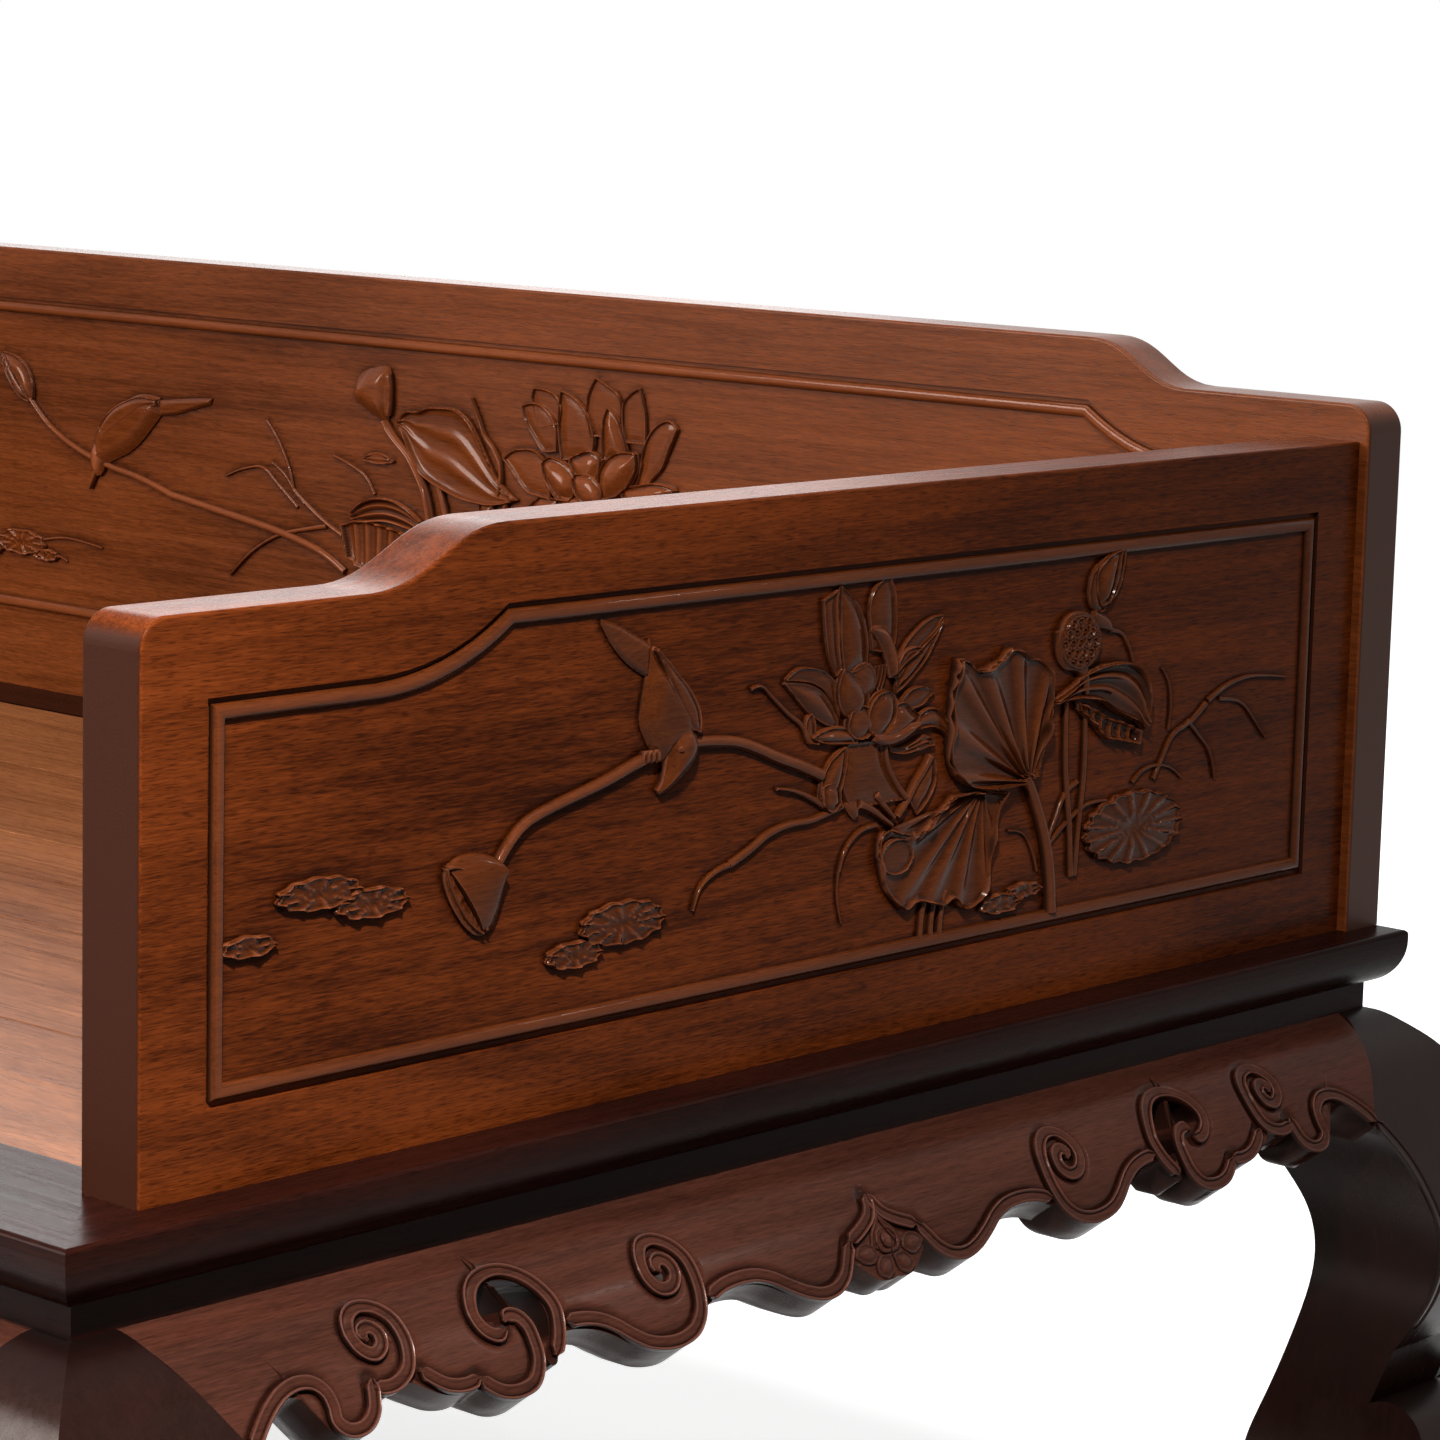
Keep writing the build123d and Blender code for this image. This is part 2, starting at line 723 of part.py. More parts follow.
with BuildPart() as leg_rear_right:
    add(half_leg.part)
    mirror(half_leg.part, about=diagonal)
    box_between(
        (half_length + foot_inner_reach + pad_inset, half_depth + foot_inner_reach + pad_inset, 0),
        (half_length + foot_outer_reach - pad_inset, half_depth + foot_outer_reach - pad_inset, pad_height),
    )
    fillet(leg_rear_right.faces().sort_by(Axis.Z)[0].edges(), pad_arris)
    add(apron_bed.part, mode=Mode.SUBTRACT)
    add(mirror(apron_bed.part, about=diagonal, mode=Mode.PRIVATE), mode=Mode.SUBTRACT)
    box_between(
        (half_length + post_back, half_depth + post_back, seat_height - mitre_foot_drop),
        (half_length + post_front, half_depth + post_front, rail_bottom),
    )
    for near_x, near_y in ((leg_tenon_near, leg_tenon_far), (leg_tenon_far, leg_tenon_near)):
        tenon_x = half_length + near_x
        tenon_y = half_depth + near_y
        box_between(
            (tenon_x - leg_tenon_side / 2, tenon_y - leg_tenon_side / 2, rail_bottom),
            (tenon_x + leg_tenon_side / 2, tenon_y + leg_tenon_side / 2, rail_bottom + leg_tenon_height),
        )
    hanger_top_z = waist_bottom - waist_tongue - fit
    hanger_low_z = hanger_top_z - hanger_height
    hanger(half_length, half_depth + hanger_reach, 0, hanger_low_z, hanger_top_z, Mode.ADD)
    hanger(half_depth, half_length + hanger_reach, 0, hanger_low_z, hanger_top_z, Mode.ADD, to_rear=True)
save(leg_rear_right, "leg_rear_right")
save(mirrored(leg_rear_right, Plane.YZ), "leg_rear_left")
save(mirrored(leg_rear_right, Plane.XZ), "leg_front_right")
save(turned_end(leg_rear_right), "leg_front_left")


# ---------------------------------------------------------------- panels
def side_field(inset):
    """The side panel's field: low at the front, an S-curve up to a sharp corner, high behind."""
    front = side_front + field_margin + inset
    rear = back_front - field_margin - inset
    foot = seat_height + field_margin + inset
    low = seat_height + side_low - field_margin - inset
    high = seat_height + side_high - field_margin - inset
    with BuildSketch() as field:
        with BuildLine():
            start = (side_front + side_step_start + step_lean * inset, low)
            end = (side_front + side_step_end + step_lean * inset, high)
            Polyline(start, (front, low), (front, foot), (rear, foot), (rear, high), end)
            Spline(start, end, tangents=((1, 0), (1, 0.7)))
        make_face()
    return field.sketch


def side_outline():
    """The side panel's outline with its ogee step and rounded front corner."""
    low = seat_height + side_low
    high = seat_height + side_high
    with BuildSketch() as outline:
        with BuildLine():
            start = (side_front + side_step_start, low)
            end = (side_front + side_step_end, high)
            corner_start = (side_front + side_corner, low)
            corner_end = (side_front, low - side_corner)
            Line(start, corner_start)
            RadiusArc(corner_start, corner_end, -side_corner)
            Polyline(corner_end, (side_front, seat_height), (back_front, seat_height), (back_front, high), end)
            Spline(start, end, tangents=((1, 0), (1, 0)))
        make_face()
    return outline.sketch


def key_slot(y_low, y_high, height, z_room, x, half_low, half_high, mode):
    """A trapezoid prism standing up: the plan of a sliding key, or of its slot."""
    with BuildSketch(Plane.XY.offset(height - key_length / 2 - z_room)) as plan:
        with BuildLine():
            Polyline((x - half_low, y_low), (x + half_low, y_low), (x + half_high, y_high),
                     (x - half_high, y_high), close=True)
        make_face()
    extrude(plan.sketch, amount=key_length + 2 * z_room, mode=mode)


with BuildPart() as side_panel_right:
    with BuildSketch(Plane.YZ.offset(side_inner)) as board_outline:
        add(side_outline())
    extrude(amount=side_thickness)
    long_edges = side_panel_right.edges().filter_by(
        lambda edge: edge.center().Z > seat_height + 1 and edge.center().Y < back_front - 1
    )
    fillet(long_edges.group_by(Axis.X)[0] + long_edges.group_by(Axis.X)[-1], panel_arris)
    for face_x, inward in ((side_outer, -1), (side_inner, 1)):
        with BuildSketch(Plane.YZ.offset(face_x)) as sunk:
            add(side_field(0))
        extrude(amount=inward * field_depth, mode=Mode.SUBTRACT)
        with BuildSketch(Plane.YZ.offset(face_x + inward * field_depth)) as bead:
            add(side_field(bead_gap))
            add(side_field(bead_gap + bead_width), mode=Mode.SUBTRACT)
        extrude(amount=-inward * bead_height)
    for tenon_y in side_tenon_y:
        floor_tenon(side_tenon_x, tenon_y, True, fit, Mode.SUBTRACT)
    for key_height in key_heights:
        half_key = key_thickness / 2 + fit
        key_slot(back_front - key_half - fit, back_front, seat_height + key_height, fit,
                 side_tenon_x, half_key, half_key, Mode.SUBTRACT)
save(side_panel_right, "side_panel_right")
save(mirrored(side_panel_right, Plane.YZ), "side_panel_left")


def back_shape(half_run, foot, low, high, step_low, step_high, end_tangent, corner):
    """The back panel's outline, or its field: two mirrored ogee steps up to a high middle."""
    with BuildSketch() as shape:
        with BuildLine():
            for side in (-1, 1):
                low_end = (side * step_low, low)
                high_end = (side * step_high, high)
                slope = (end_tangent[0] * side, -end_tangent[1])
                Spline(high_end, low_end, tangents=(slope, (side, 0)))
                if corner:
                    corner_start = (side * (half_run - corner), low)
                    corner_end = (side * half_run, low - corner)
                    Line(low_end, corner_start)
                    RadiusArc(corner_start, corner_end, side * corner)
                    Line(corner_end, (side * half_run, foot))
                else:
                    Polyline(low_end, (side * half_run, low), (side * half_run, foot))
            Line((-step_high, high), (step_high, high))
            Line((-half_run, foot), (half_run, foot))
        make_face()
    return shape.sketch


def back_field(inset):
    """The sunk field on the back panel's front, inside the two side panels."""
    return back_shape(
        side_inner - field_margin - inset,
        seat_height + back_field_foot + inset,
        seat_height + back_low - field_margin - inset,
        seat_height + back_high - field_margin - inset,
        side_outer - back_step_start - step_lean * inset,
        side_outer - back_step_end - step_lean * inset,
        (1, 0.7),
        0,
    )


with BuildPart() as back_panel:
    with BuildSketch(Plane.XZ.offset(-half_depth)) as back_outline:
        add(back_shape(back_half_length, seat_height, seat_height + back_low, seat_height + back_high,
                       side_outer - back_step_start, side_outer - back_step_end, (1, 0), back_corner))
    extrude(amount=back_thickness)
    rim = back_panel.edges().filter_by(lambda edge: edge.center().Z > seat_height + 1)
    fillet(rim.group_by(Axis.Y)[0] + rim.group_by(Axis.Y)[-1], panel_arris)
    with BuildSketch(Plane.XZ.offset(-back_front)) as back_sunk:
        add(back_field(0))
    extrude(amount=-field_depth, mode=Mode.SUBTRACT)
    with BuildSketch(Plane.XZ.offset(-back_front - field_depth)) as back_bead:
        add(back_field(bead_gap))
        add(back_field(bead_gap + bead_width), mode=Mode.SUBTRACT)
    extrude(amount=bead_height)
    for tenon_x in back_tenon_x:
        floor_tenon(tenon_x, back_tenon_y, False, fit, Mode.SUBTRACT)
    for side in (-1, 1):
        for key_height in key_heights:
            key_slot(back_front, back_front + key_half + fit, seat_height + key_height, key_length / 2,
                     side * side_tenon_x, key_thickness / 2 + fit, key_flare / 2 + fit, Mode.SUBTRACT)
save(back_panel, "back_panel")

# ---------------------------------------------------------------- loose tenons and keys
with BuildPart() as back_floor_tenons:
    for tenon_x in back_tenon_x:
        floor_tenon(tenon_x, back_tenon_y, False, 0)
save(back_floor_tenons, "back_floor_tenons")

with BuildPart() as right_floor_tenons:
    for tenon_y in side_tenon_y:
        floor_tenon(side_tenon_x, tenon_y, True, 0)
save(right_floor_tenons, "right_floor_tenons")
save(mirrored(right_floor_tenons, Plane.YZ), "left_floor_tenons")

with BuildPart() as right_sliding_keys:
    for key_height in key_heights:
        key_slot(back_front - key_half, back_front, seat_height + key_height, 0,
                 side_tenon_x, key_thickness / 2, key_thickness / 2, Mode.ADD)
        key_slot(back_front, back_front + key_half, seat_height + key_height, 0,
                 side_tenon_x, key_thickness / 2, key_flare / 2, Mode.ADD)
save(right_sliding_keys, "right_sliding_keys")
save(mirrored(right_sliding_keys, Plane.YZ), "left_sliding_keys")
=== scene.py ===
"""Luohan daybed: woods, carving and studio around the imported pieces.

Every carved form is a surface over two parameters, worked out as whole numpy arrays.
Carving is laid out in millimetres on the face that it stands on and placed in metres.
"""

import json

import bpy
import numpy as np
from mathutils import Matrix, Vector


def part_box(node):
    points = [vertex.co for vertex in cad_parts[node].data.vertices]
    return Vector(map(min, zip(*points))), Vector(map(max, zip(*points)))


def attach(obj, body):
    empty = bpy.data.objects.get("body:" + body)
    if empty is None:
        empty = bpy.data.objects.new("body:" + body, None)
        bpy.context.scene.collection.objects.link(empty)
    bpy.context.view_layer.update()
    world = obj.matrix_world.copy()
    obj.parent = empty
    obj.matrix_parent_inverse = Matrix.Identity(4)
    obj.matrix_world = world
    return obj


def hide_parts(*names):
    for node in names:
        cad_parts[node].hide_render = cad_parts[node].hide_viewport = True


bl_info = {
    "name": "Luohan Daybed",
    "version": (1, 0, 0),
    "blender": (4, 5, 0),
    "location": "View3D > Sidebar > Daybed",
    "description": "Gives the packed daybed its woods, carving and studio",
    "category": "Add Mesh",
}

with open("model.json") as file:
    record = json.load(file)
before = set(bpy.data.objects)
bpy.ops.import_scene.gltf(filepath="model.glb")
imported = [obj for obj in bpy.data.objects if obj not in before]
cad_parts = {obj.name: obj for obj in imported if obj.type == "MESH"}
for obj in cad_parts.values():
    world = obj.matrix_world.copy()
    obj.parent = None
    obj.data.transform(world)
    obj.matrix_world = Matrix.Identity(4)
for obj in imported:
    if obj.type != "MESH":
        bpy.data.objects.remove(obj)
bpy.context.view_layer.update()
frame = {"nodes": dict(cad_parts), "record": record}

MM = 0.001
BODY = "root"


def top_corner(node):
    """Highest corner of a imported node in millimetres."""
    return np.array(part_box(node)[1]) / MM


# ---------------------------------------------------------------- places from the frame
SEAT = top_corner("front_rail")[2]
HALF_LENGTH = top_corner("right_end_rail")[0]
HALF_DEPTH = top_corner("rear_rail")[1]
FIELD_DEPTH = 3.0           # the panels' fields are sunk this deep
SIDE_FIELD = top_corner("side_panel_right")[0] - FIELD_DEPTH
BACK_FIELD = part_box("back_panel")[0][1] / MM + FIELD_DEPTH
ROOT_DEPTH = 0.6            # carved forms reach this far into the wood behind them
SHARP_ANGLE = 40.0          # edges that turn by more degrees are shaded as sharp
MOST_PAIRS = 2000000        # distances that are worked out at a time

# Stations along lines.
FINE_PER_POINT = 8          # steps that a curve is measured in, for each point of the result
FINE_PER_KNOT = 12          # and at least for each point that it goes through
EDGE_POINTS = 200           # on a form's edge line
END_POINTS = 12             # on the short line that closes its outline at an end
NUDGE = 0.0001              # keeps that line from having no length
FORM_ROWS = (10, 120)       # fewest and most rows of a form
FORM_COLS = (9, 70)         # and columns
DISC_POINTS = 40            # on half of a disc's outline
DISC_GAP = 0.2              # its halves are moved apart by this
STALK_POINTS = 60           # on a stalk's middle line
STALK_ROWS = (8, 80)        # fewest and most rows of a stalk
STALK_COLS = 9              # and its columns
STEP_POINTS = 28            # on the step of a panel's outline

# Carved forms.
EDGE_PITCH = 2.5            # spacing of the outline points that the ground darkens along
MOST_SKIPPED = 40           # at least one point in so many is kept for that
PAINTED_RIDGE_HIGHLIGHT = 0.8           # painted highlight per millimetre that a place stands above its neighbours
PAINTED_HOLLOW_SHADE = 1.6          # painted shade per millimetre that it lies below them
PAINTED_SHADE_HEIGHT = 2.5          # height above which a form gets no painted shade
PAINTED_LOW_SHADE = 0.25            # painted shade of a form that has no height
STALK_ROUND = 0.42          # crown of a stalk against its width
LIP_HOLLOW = 1.2            # width of the hollow inside a petal's lip
LEAF_LIP, LEAF_LIP_WIDTH = 1.6, 1.1     # lip along a fan leaf's edge
PAD_LIP = 1.2               # and along a lily pad's

# Fields inside the beads: the plain margin round them, and the steps' two ends, measured
# from the side panel's front edge and from the back panel's middle.
STEP_LEAN = 1 / 3           # the fields' steps move this share of each further inset
MARGIN = 41.0
BACK_FOOT = 61.0
SIDE_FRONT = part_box("side_panel_right")[0][1] / MM
BACK_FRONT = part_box("back_panel")[0][1] / MM
SIDE_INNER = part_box("side_panel_right")[0][0] / MM
SIDE_LOW, SIDE_HIGH = 279.0, 308.0
SIDE_STEP = (145.0, 238.0)
BACK_LOW, BACK_HIGH = 331.0, 359.0
BACK_STEP = (875.0, 798.0)
BEAD_OUTER = 3.2            # inset of the bead's outer foot
BEAD_SPAN = 8.6             # its width
BEAD_CROWN = 3.9            # its height above the sunk field
BEAD_POINTS = 17            # across it
BEAD_FULLNESS = 2.6         # exponent of its section: 2 is round, more is fuller
BEAD_PAINTED_SHADE = (0.9, 2.0)     # painted shade at its foot, and the height where it ends
BEAD_PAINTED_HIGHLIGHT = (0.30, 3.4, 0.4)   # painted highlight on its crown, the height where it starts, and its reach
GROUND_LIFT = 0.55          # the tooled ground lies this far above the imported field
GROUND_DIP = 0.45           # and dips this much beside the carving
GROUND_LAP = 0.6            # and reaches this far under the bead
PAINTED_CLOSE_SHADE = (0.7, 2.0)    # its painted shade right beside the carving, and how far that spreads
PAINTED_WIDE_SHADE = (0.15, 8.0)    # a fainter painted shade that spreads farther
PAINTED_BORDER_SHADE = (0.7, 2.4)   # and the painted shade along the bead
SIDE_GRID = (370, 84)       # its columns and rows on a side panel
BACK_GRID = (560, 75)       # and on the back panel

# The aprons' and legs' bulging face: reach from the frame's edge, drop from the seat.
BULGE = np.array([(-19.0, 50.0), (-1.6, 58.0), (17.0, 74.0), (28.0, 90.0), (34.5, 101.0), (41.0, 113.0)])
MITRE_TOP = (-46.0, 50.0)   # joint between apron and leg: reach along the side, drop
MITRE_FOOT = (-84.0, 106.0)
PATTERN_HALF = 541.0        # half length of the side that the apron's line is drawn on
BEVEL_IN = 15.0             # sawn bevel below the cord, from its edge: inwards
BEVEL_DOWN = 11.5           # and down
APRON_FOOT = 14.0           # width of the underside
APRON_BACK = np.array([(-36.0, 50.0), (-36.0, 64.0), (-16.0, 80.0)])
SNAP_REACH = 3.0            # grid points this near a hole's outline are moved onto it
ROW_CROWDING = 0.85         # the face's rows crowd towards the sawn edge by this exponent
GROOVE_SPREAD = 1.9         # width of the groove beside the cord
PAINTED_GROOVE_SHADE = 0.8          # painted shade at its bottom
PAINTED_BEVEL_SHADE = 0.42          # painted shade of the sawn bevel, the underside and the back
SHORT_GRID = (1.75, 58, 1.5)    # short apron: column width, number of rows, step along the cord
LONG_GRID = (2.8, 40, 2.5)      # long apron
FINE_CORD = 24              # points for each of a cord's points, for the sawn edge
COARSE_CORD = 8             # and for the groove,
COARSE_LEAST = 40           # at least so many on each cord
CARTOUCHE_POINTS = 60       # on the cartouche's foot

# Quarter turns from the right side, distance of the frame's edge from the middle, and half
# length of the side.
SIDES = {"right": (0, HALF_LENGTH, HALF_DEPTH), "left": (2, HALF_LENGTH, HALF_DEPTH),
         "rear": (1, HALF_DEPTH, HALF_LENGTH), "front": (3, HALF_DEPTH, HALF_LENGTH)}


# ---------------------------------------------------------------- settings
def colour_setting(name, description, default):
    """A colour that the user may change."""
    return bpy.props.FloatVectorProperty(name=name, description=description, subtype="COLOR", size=3,
                                         min=0, max=1, default=default)


def length_setting(name, description, least, most, default):
    """A length in metres that the user may change."""
    return bpy.props.FloatProperty(name=name, description=description, unit="LENGTH", min=least, max=most,
                                   default=default)


def power_setting(name, description, default):
    """A lamp's power in watts that the user may change."""
    return bpy.props.FloatProperty(name=name, description=description, unit="POWER", min=0, max=2000,
                                   default=default)


class DaybedWoods(bpy.types.PropertyGroup):
    """Colours and finish of the woods: a dark and a light tone for each kind."""

    panel_dark: colour_setting("Panel dark", "Dark streaks of the side panels", (0.023, 0.0039, 0.0007))
    panel_light: colour_setting("Panel light", "Light bands of the side panels", (0.116, 0.0233, 0.0044))
    back_dark: colour_setting("Back dark", "Dark streaks of the back panel", (0.03, 0.006, 0.0012))
    back_light: colour_setting("Back light", "Light bands of the back panel", (0.155, 0.036, 0.008))
    carved_dark: colour_setting("Carving dark", "Dark streaks of the side panels' carving",
                                (0.019, 0.0036, 0.0007))
    carved_light: colour_setting("Carving light", "Light bands of the side panels' carving",
                                 (0.095, 0.0215, 0.0045))
    seat_dark: colour_setting("Seat dark", "Dark streaks of the seat boards", (0.048, 0.0133, 0.0046))
    seat_light: colour_setting("Seat light", "Light bands of the seat boards", (0.19, 0.0665, 0.023))
    frame_dark: colour_setting("Frame dark", "Dark streaks of the rails and waist", (0.0025, 0.0009, 0.0007))
    frame_light: colour_setting("Frame light", "Light bands of the rails and waist", (0.0165, 0.0035, 0.002))
    # The aprons' tones are a lighter copy of the frame's wood; the added lightness is a painted sheen on
    # their bulging face.
    apron_dark: colour_setting("Apron dark", "Dark streaks of the aprons", (0.009, 0.0033, 0.00225))
    apron_light: colour_setting("Apron light", "Light bands of the aprons", (0.066, 0.0198, 0.0115))
    leg_dark: colour_setting("Leg dark", "Dark streaks of the legs", (0.0015, 0.0006, 0.0005))
    leg_light: colour_setting("Leg light", "Light bands of the legs", (0.017, 0.0048, 0.0033))
    joint_dark: colour_setting("Joint dark", "Dark streaks of battens, tenons and keys", (0.14, 0.065, 0.029))
    joint_light: colour_setting("Joint light", "Light bands of battens, tenons and keys", (0.32, 0.175, 0.09))
    polish: bpy.props.FloatProperty(
        name="Polish", description="Roughness of the polished woods", subtype="FACTOR",
        min=0.05, max=0.9, default=0.28)
    pore_depth: length_setting("Pore depth", "Depth of the open grain", 0, 0.001, 0.00008)


class DaybedCarving(bpy.types.PropertyGroup):
    """Sizes of the carved work."""

    cord_width: length_setting("Cord width", "Width of the cord along the aprons' edge", 0.004, 0.012, 0.0082)
    cord_height: length_setting("Cord height", "How far the cord stands out of the aprons", 0.0005, 0.004,
                                0.0016)
    groove_depth: length_setting("Groove depth", "Depth of the groove beside the cord", 0.0002, 0.003, 0.0017)
    relief: bpy.props.FloatProperty(
        name="Relief", description="Height of the panels' carving against its drawing",
        subtype="FACTOR", min=0.3, max=2, default=1.4)


class DaybedStudio(bpy.types.PropertyGroup):
    """Camera, lights and background."""

    lens: bpy.props.FloatProperty(
        name="Lens", description="Focal length in millimetres on a 36 mm sensor",
        min=20, max=300, default=110.6)
    key_power: power_setting("Key light", "Power of the light above the front corner", 14.5)
    top_power: power_setting("Top light", "Power of the large light overhead", 74)
    fill_power: power_setting("Fill light", "Power of the light in front of the bed", 200)
    rim_power: power_setting("Rim light", "Power of the light behind the bed", 55)
    glint_power: power_setting("Glint light", "Power of the small lights that the polish mirrors", 7.5)
    room_level: bpy.props.FloatProperty(
        name="Room level", description="Strength of the even light from all sides",
        min=0, max=2, default=0.10)


# ---------------------------------------------------------------- lines and shells
def length_of(line):
    """Length of the line through the points."""
    return np.linalg.norm(np.diff(line, axis=0), axis=1).sum()


def run_along(line):
    """Arc length from the line's start to each of its points."""
    return np.concatenate([[0], np.cumsum(np.linalg.norm(np.diff(line, axis=0), axis=1))])


def normals_of(line):
    """Unit normals of a plane line, a quarter turn to the left of its way."""
    way = np.gradient(line, axis=0)
    way /= np.linalg.norm(way, axis=1)[:, None]
    return np.stack([-way[:, 1], way[:, 0]], axis=1)


def hermite(t, start, end, start_way, end_way, reach=1.0):
    """Points at t, from 0 to 1, of the cubic that leaves start along one way and comes to
    the end along the other, both ways times reach."""
    return ((2 * t ** 3 - 3 * t ** 2 + 1) * start + (t ** 3 - 2 * t ** 2 + t) * reach * start_way
            + (3 * t ** 2 - 2 * t ** 3) * end + (t ** 3 - t ** 2) * reach * end_way)


def smooth_line(points, count):
    """A smooth curve through the points: cubic Hermite spans whose tangents are the mean
    of the neighbouring chords, weighted by length, resampled at equal arc lengths."""
    points = np.asarray(points, float)
    chord = np.linalg.norm(np.diff(points, axis=0), axis=1)
    knots = run_along(points)
    slopes = np.diff(points, axis=0) / chord[:, None]
    if len(points) > 2:
        before, after = chord[:-1, None], chord[1:, None]
        inner = (slopes[:-1] * after + slopes[1:] * before) / (before + after)
        first = 1.5 * slopes[:1] - 0.5 * inner[:1]
        last = 1.5 * slopes[-1:] - 0.5 * inner[-1:]
        tangents = np.concatenate([first, inner, last])
    else:
        tangents = np.concatenate([slopes, slopes])
    fine = np.linspace(0, knots[-1], max(FINE_PER_POINT * count, FINE_PER_KNOT * len(points)))
    span = np.clip(np.searchsorted(knots, fine, side="right") - 1, 0, len(chord) - 1)
    length = chord[span][:, None]
    t = (fine[:, None] - knots[span][:, None]) / length
    curve = hermite(t, points[span], points[span + 1], tangents[span], tangents[span + 1], length)
    run = run_along(curve)
    even = np.linspace(0, run[-1], count)
    return np.stack([np.interp(even, run, curve[:, k]) for k in range(curve.shape[1])], axis=1)


def eased(count):
    """Stations from 0 to 1, closer together at both ends, by a half cosine."""
    return 0.5 - 0.5 * np.cos(np.linspace(0, np.pi, count))


def at_stations(line, stations):
    """Points of an evenly sampled line at the given shares of its length."""
    even = np.linspace(0, 1, len(line))
    return np.stack([np.interp(stations, even, line[:, k]) for k in range(line.shape[1])], axis=1)


def nearest(points, targets):
    """Distance from each point to the nearest target, and that target's index, worked out
    in blocks that keep the table of distances small."""
    found, index = [], []
    chunk = 1 + MOST_PAIRS // len(targets)
    for start in range(0, len(points), chunk):
        block = points[start:start + chunk]
        square = ((block[:, None, :] - targets[None, :, :]) ** 2).sum(axis=2)
        best = square.argmin(axis=1)
        index.append(best)
        found.append(np.sqrt(square[np.arange(len(block)), best]))
    return np.concatenate(found), np.concatenate(index)


def softened(height):
    """A height grid averaged three times with its neighbours, taken as 0 all round."""
    mean = height
    for _ in range(3):
        wide = np.pad(mean, 1)
        mean = (wide[:-2, 1:-1] + wide[2:, 1:-1] + wide[1:-1, :-2] + wide[1:-1, 2:] + mean) / 5
    return mean


def grid_quads(rows, cols, looped=False):
    """Quads of a rows x cols grid of vertices, numbered row by row. A looped grid's last
    row and column join on to its first."""
    i, j = np.meshgrid(np.arange(rows if looped else rows - 1), np.arange(cols if looped else cols - 1),
                       indexing="ij")
    below, beside = (i + 1) % rows, (j + 1) % cols
    return np.stack([i * cols + j, i * cols + beside, below * cols + beside, below * cols + j],
                    axis=-1).reshape(-1, 4)


def slab(front, back):
    """A closed shell from two grids of equal size: both faces, and a wall all round."""
    rows, cols = front.shape[:2]
    number = np.arange(rows * cols).reshape(rows, cols)
    ring = np.concatenate([number[0, :-1], number[:-1, -1], number[-1, :0:-1], number[:0:-1, 0]])
    after = np.roll(ring, -1)
    size = rows * cols
    quads = grid_quads(rows, cols)
    wall = np.stack([after, ring, ring + size, after + size], axis=1)
    verts = np.concatenate([front.reshape(-1, 3), back.reshape(-1, 3)])
    return verts, np.concatenate([quads, quads[:, ::-1] + size, wall])


def outward(verts, quads):
    """The same quads, turned over where the shell's signed volume is negative."""
    a, b, c, d = (verts[quads[:, k]] for k in range(4))
    volume = np.einsum("ij,ij->i", a, np.cross(b, c) + np.cross(c, d)).sum()
    return quads if volume > 0 else quads[:, ::-1]


def mesh_piece(name, shells, material):
    """One object from closed shells, each (vertices in metres, quads, painted shading of every
    vertex): 0 for none, up to 1 for full painted shade in a recess, down to -1 for a painted
    highlight on a ridge."""
    verts, quads, painted_shadings, start = [], [], [], 0
    for shell_verts, shell_quads, shell_painted_shading in shells:
        verts.append(shell_verts)
        quads.append(outward(shell_verts, shell_quads) + start)
        painted_shadings.append(shell_painted_shading)
        start += len(shell_verts)
    verts, quads = np.concatenate(verts), np.concatenate(quads)
    mesh = bpy.data.meshes.new(name)
    mesh.vertices.add(len(verts))
    mesh.vertices.foreach_set("co", verts.astype(np.float32).ravel())
    mesh.loops.add(quads.size)
    mesh.loops.foreach_set("vertex_index", quads.astype(np.int32).ravel())
    mesh.polygons.add(len(quads))
    mesh.polygons.foreach_set("loop_start", np.arange(0, quads.size, 4, dtype=np.int32))
    mesh.update(calc_edges=True)
    # The painted shading as a vertex attribute: painted shade where positive, painted highlight where
    # negative.
    shade = mesh.attributes.new("shade", "FLOAT", "POINT")
    shade.data.foreach_set("value", np.concatenate(painted_shadings).astype(np.float32))
    mesh.validate()
    mesh.polygons.foreach_set("use_smooth", np.ones(len(mesh.polygons), bool))
    mesh.set_sharp_from_angle(angle=np.radians(SHARP_ANGLE))
    mesh.materials.append(material)
    piece = bpy.data.objects.new(name, mesh)
    bpy.context.scene.collection.objects.link(piece)
    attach(piece, BODY)
    return piece


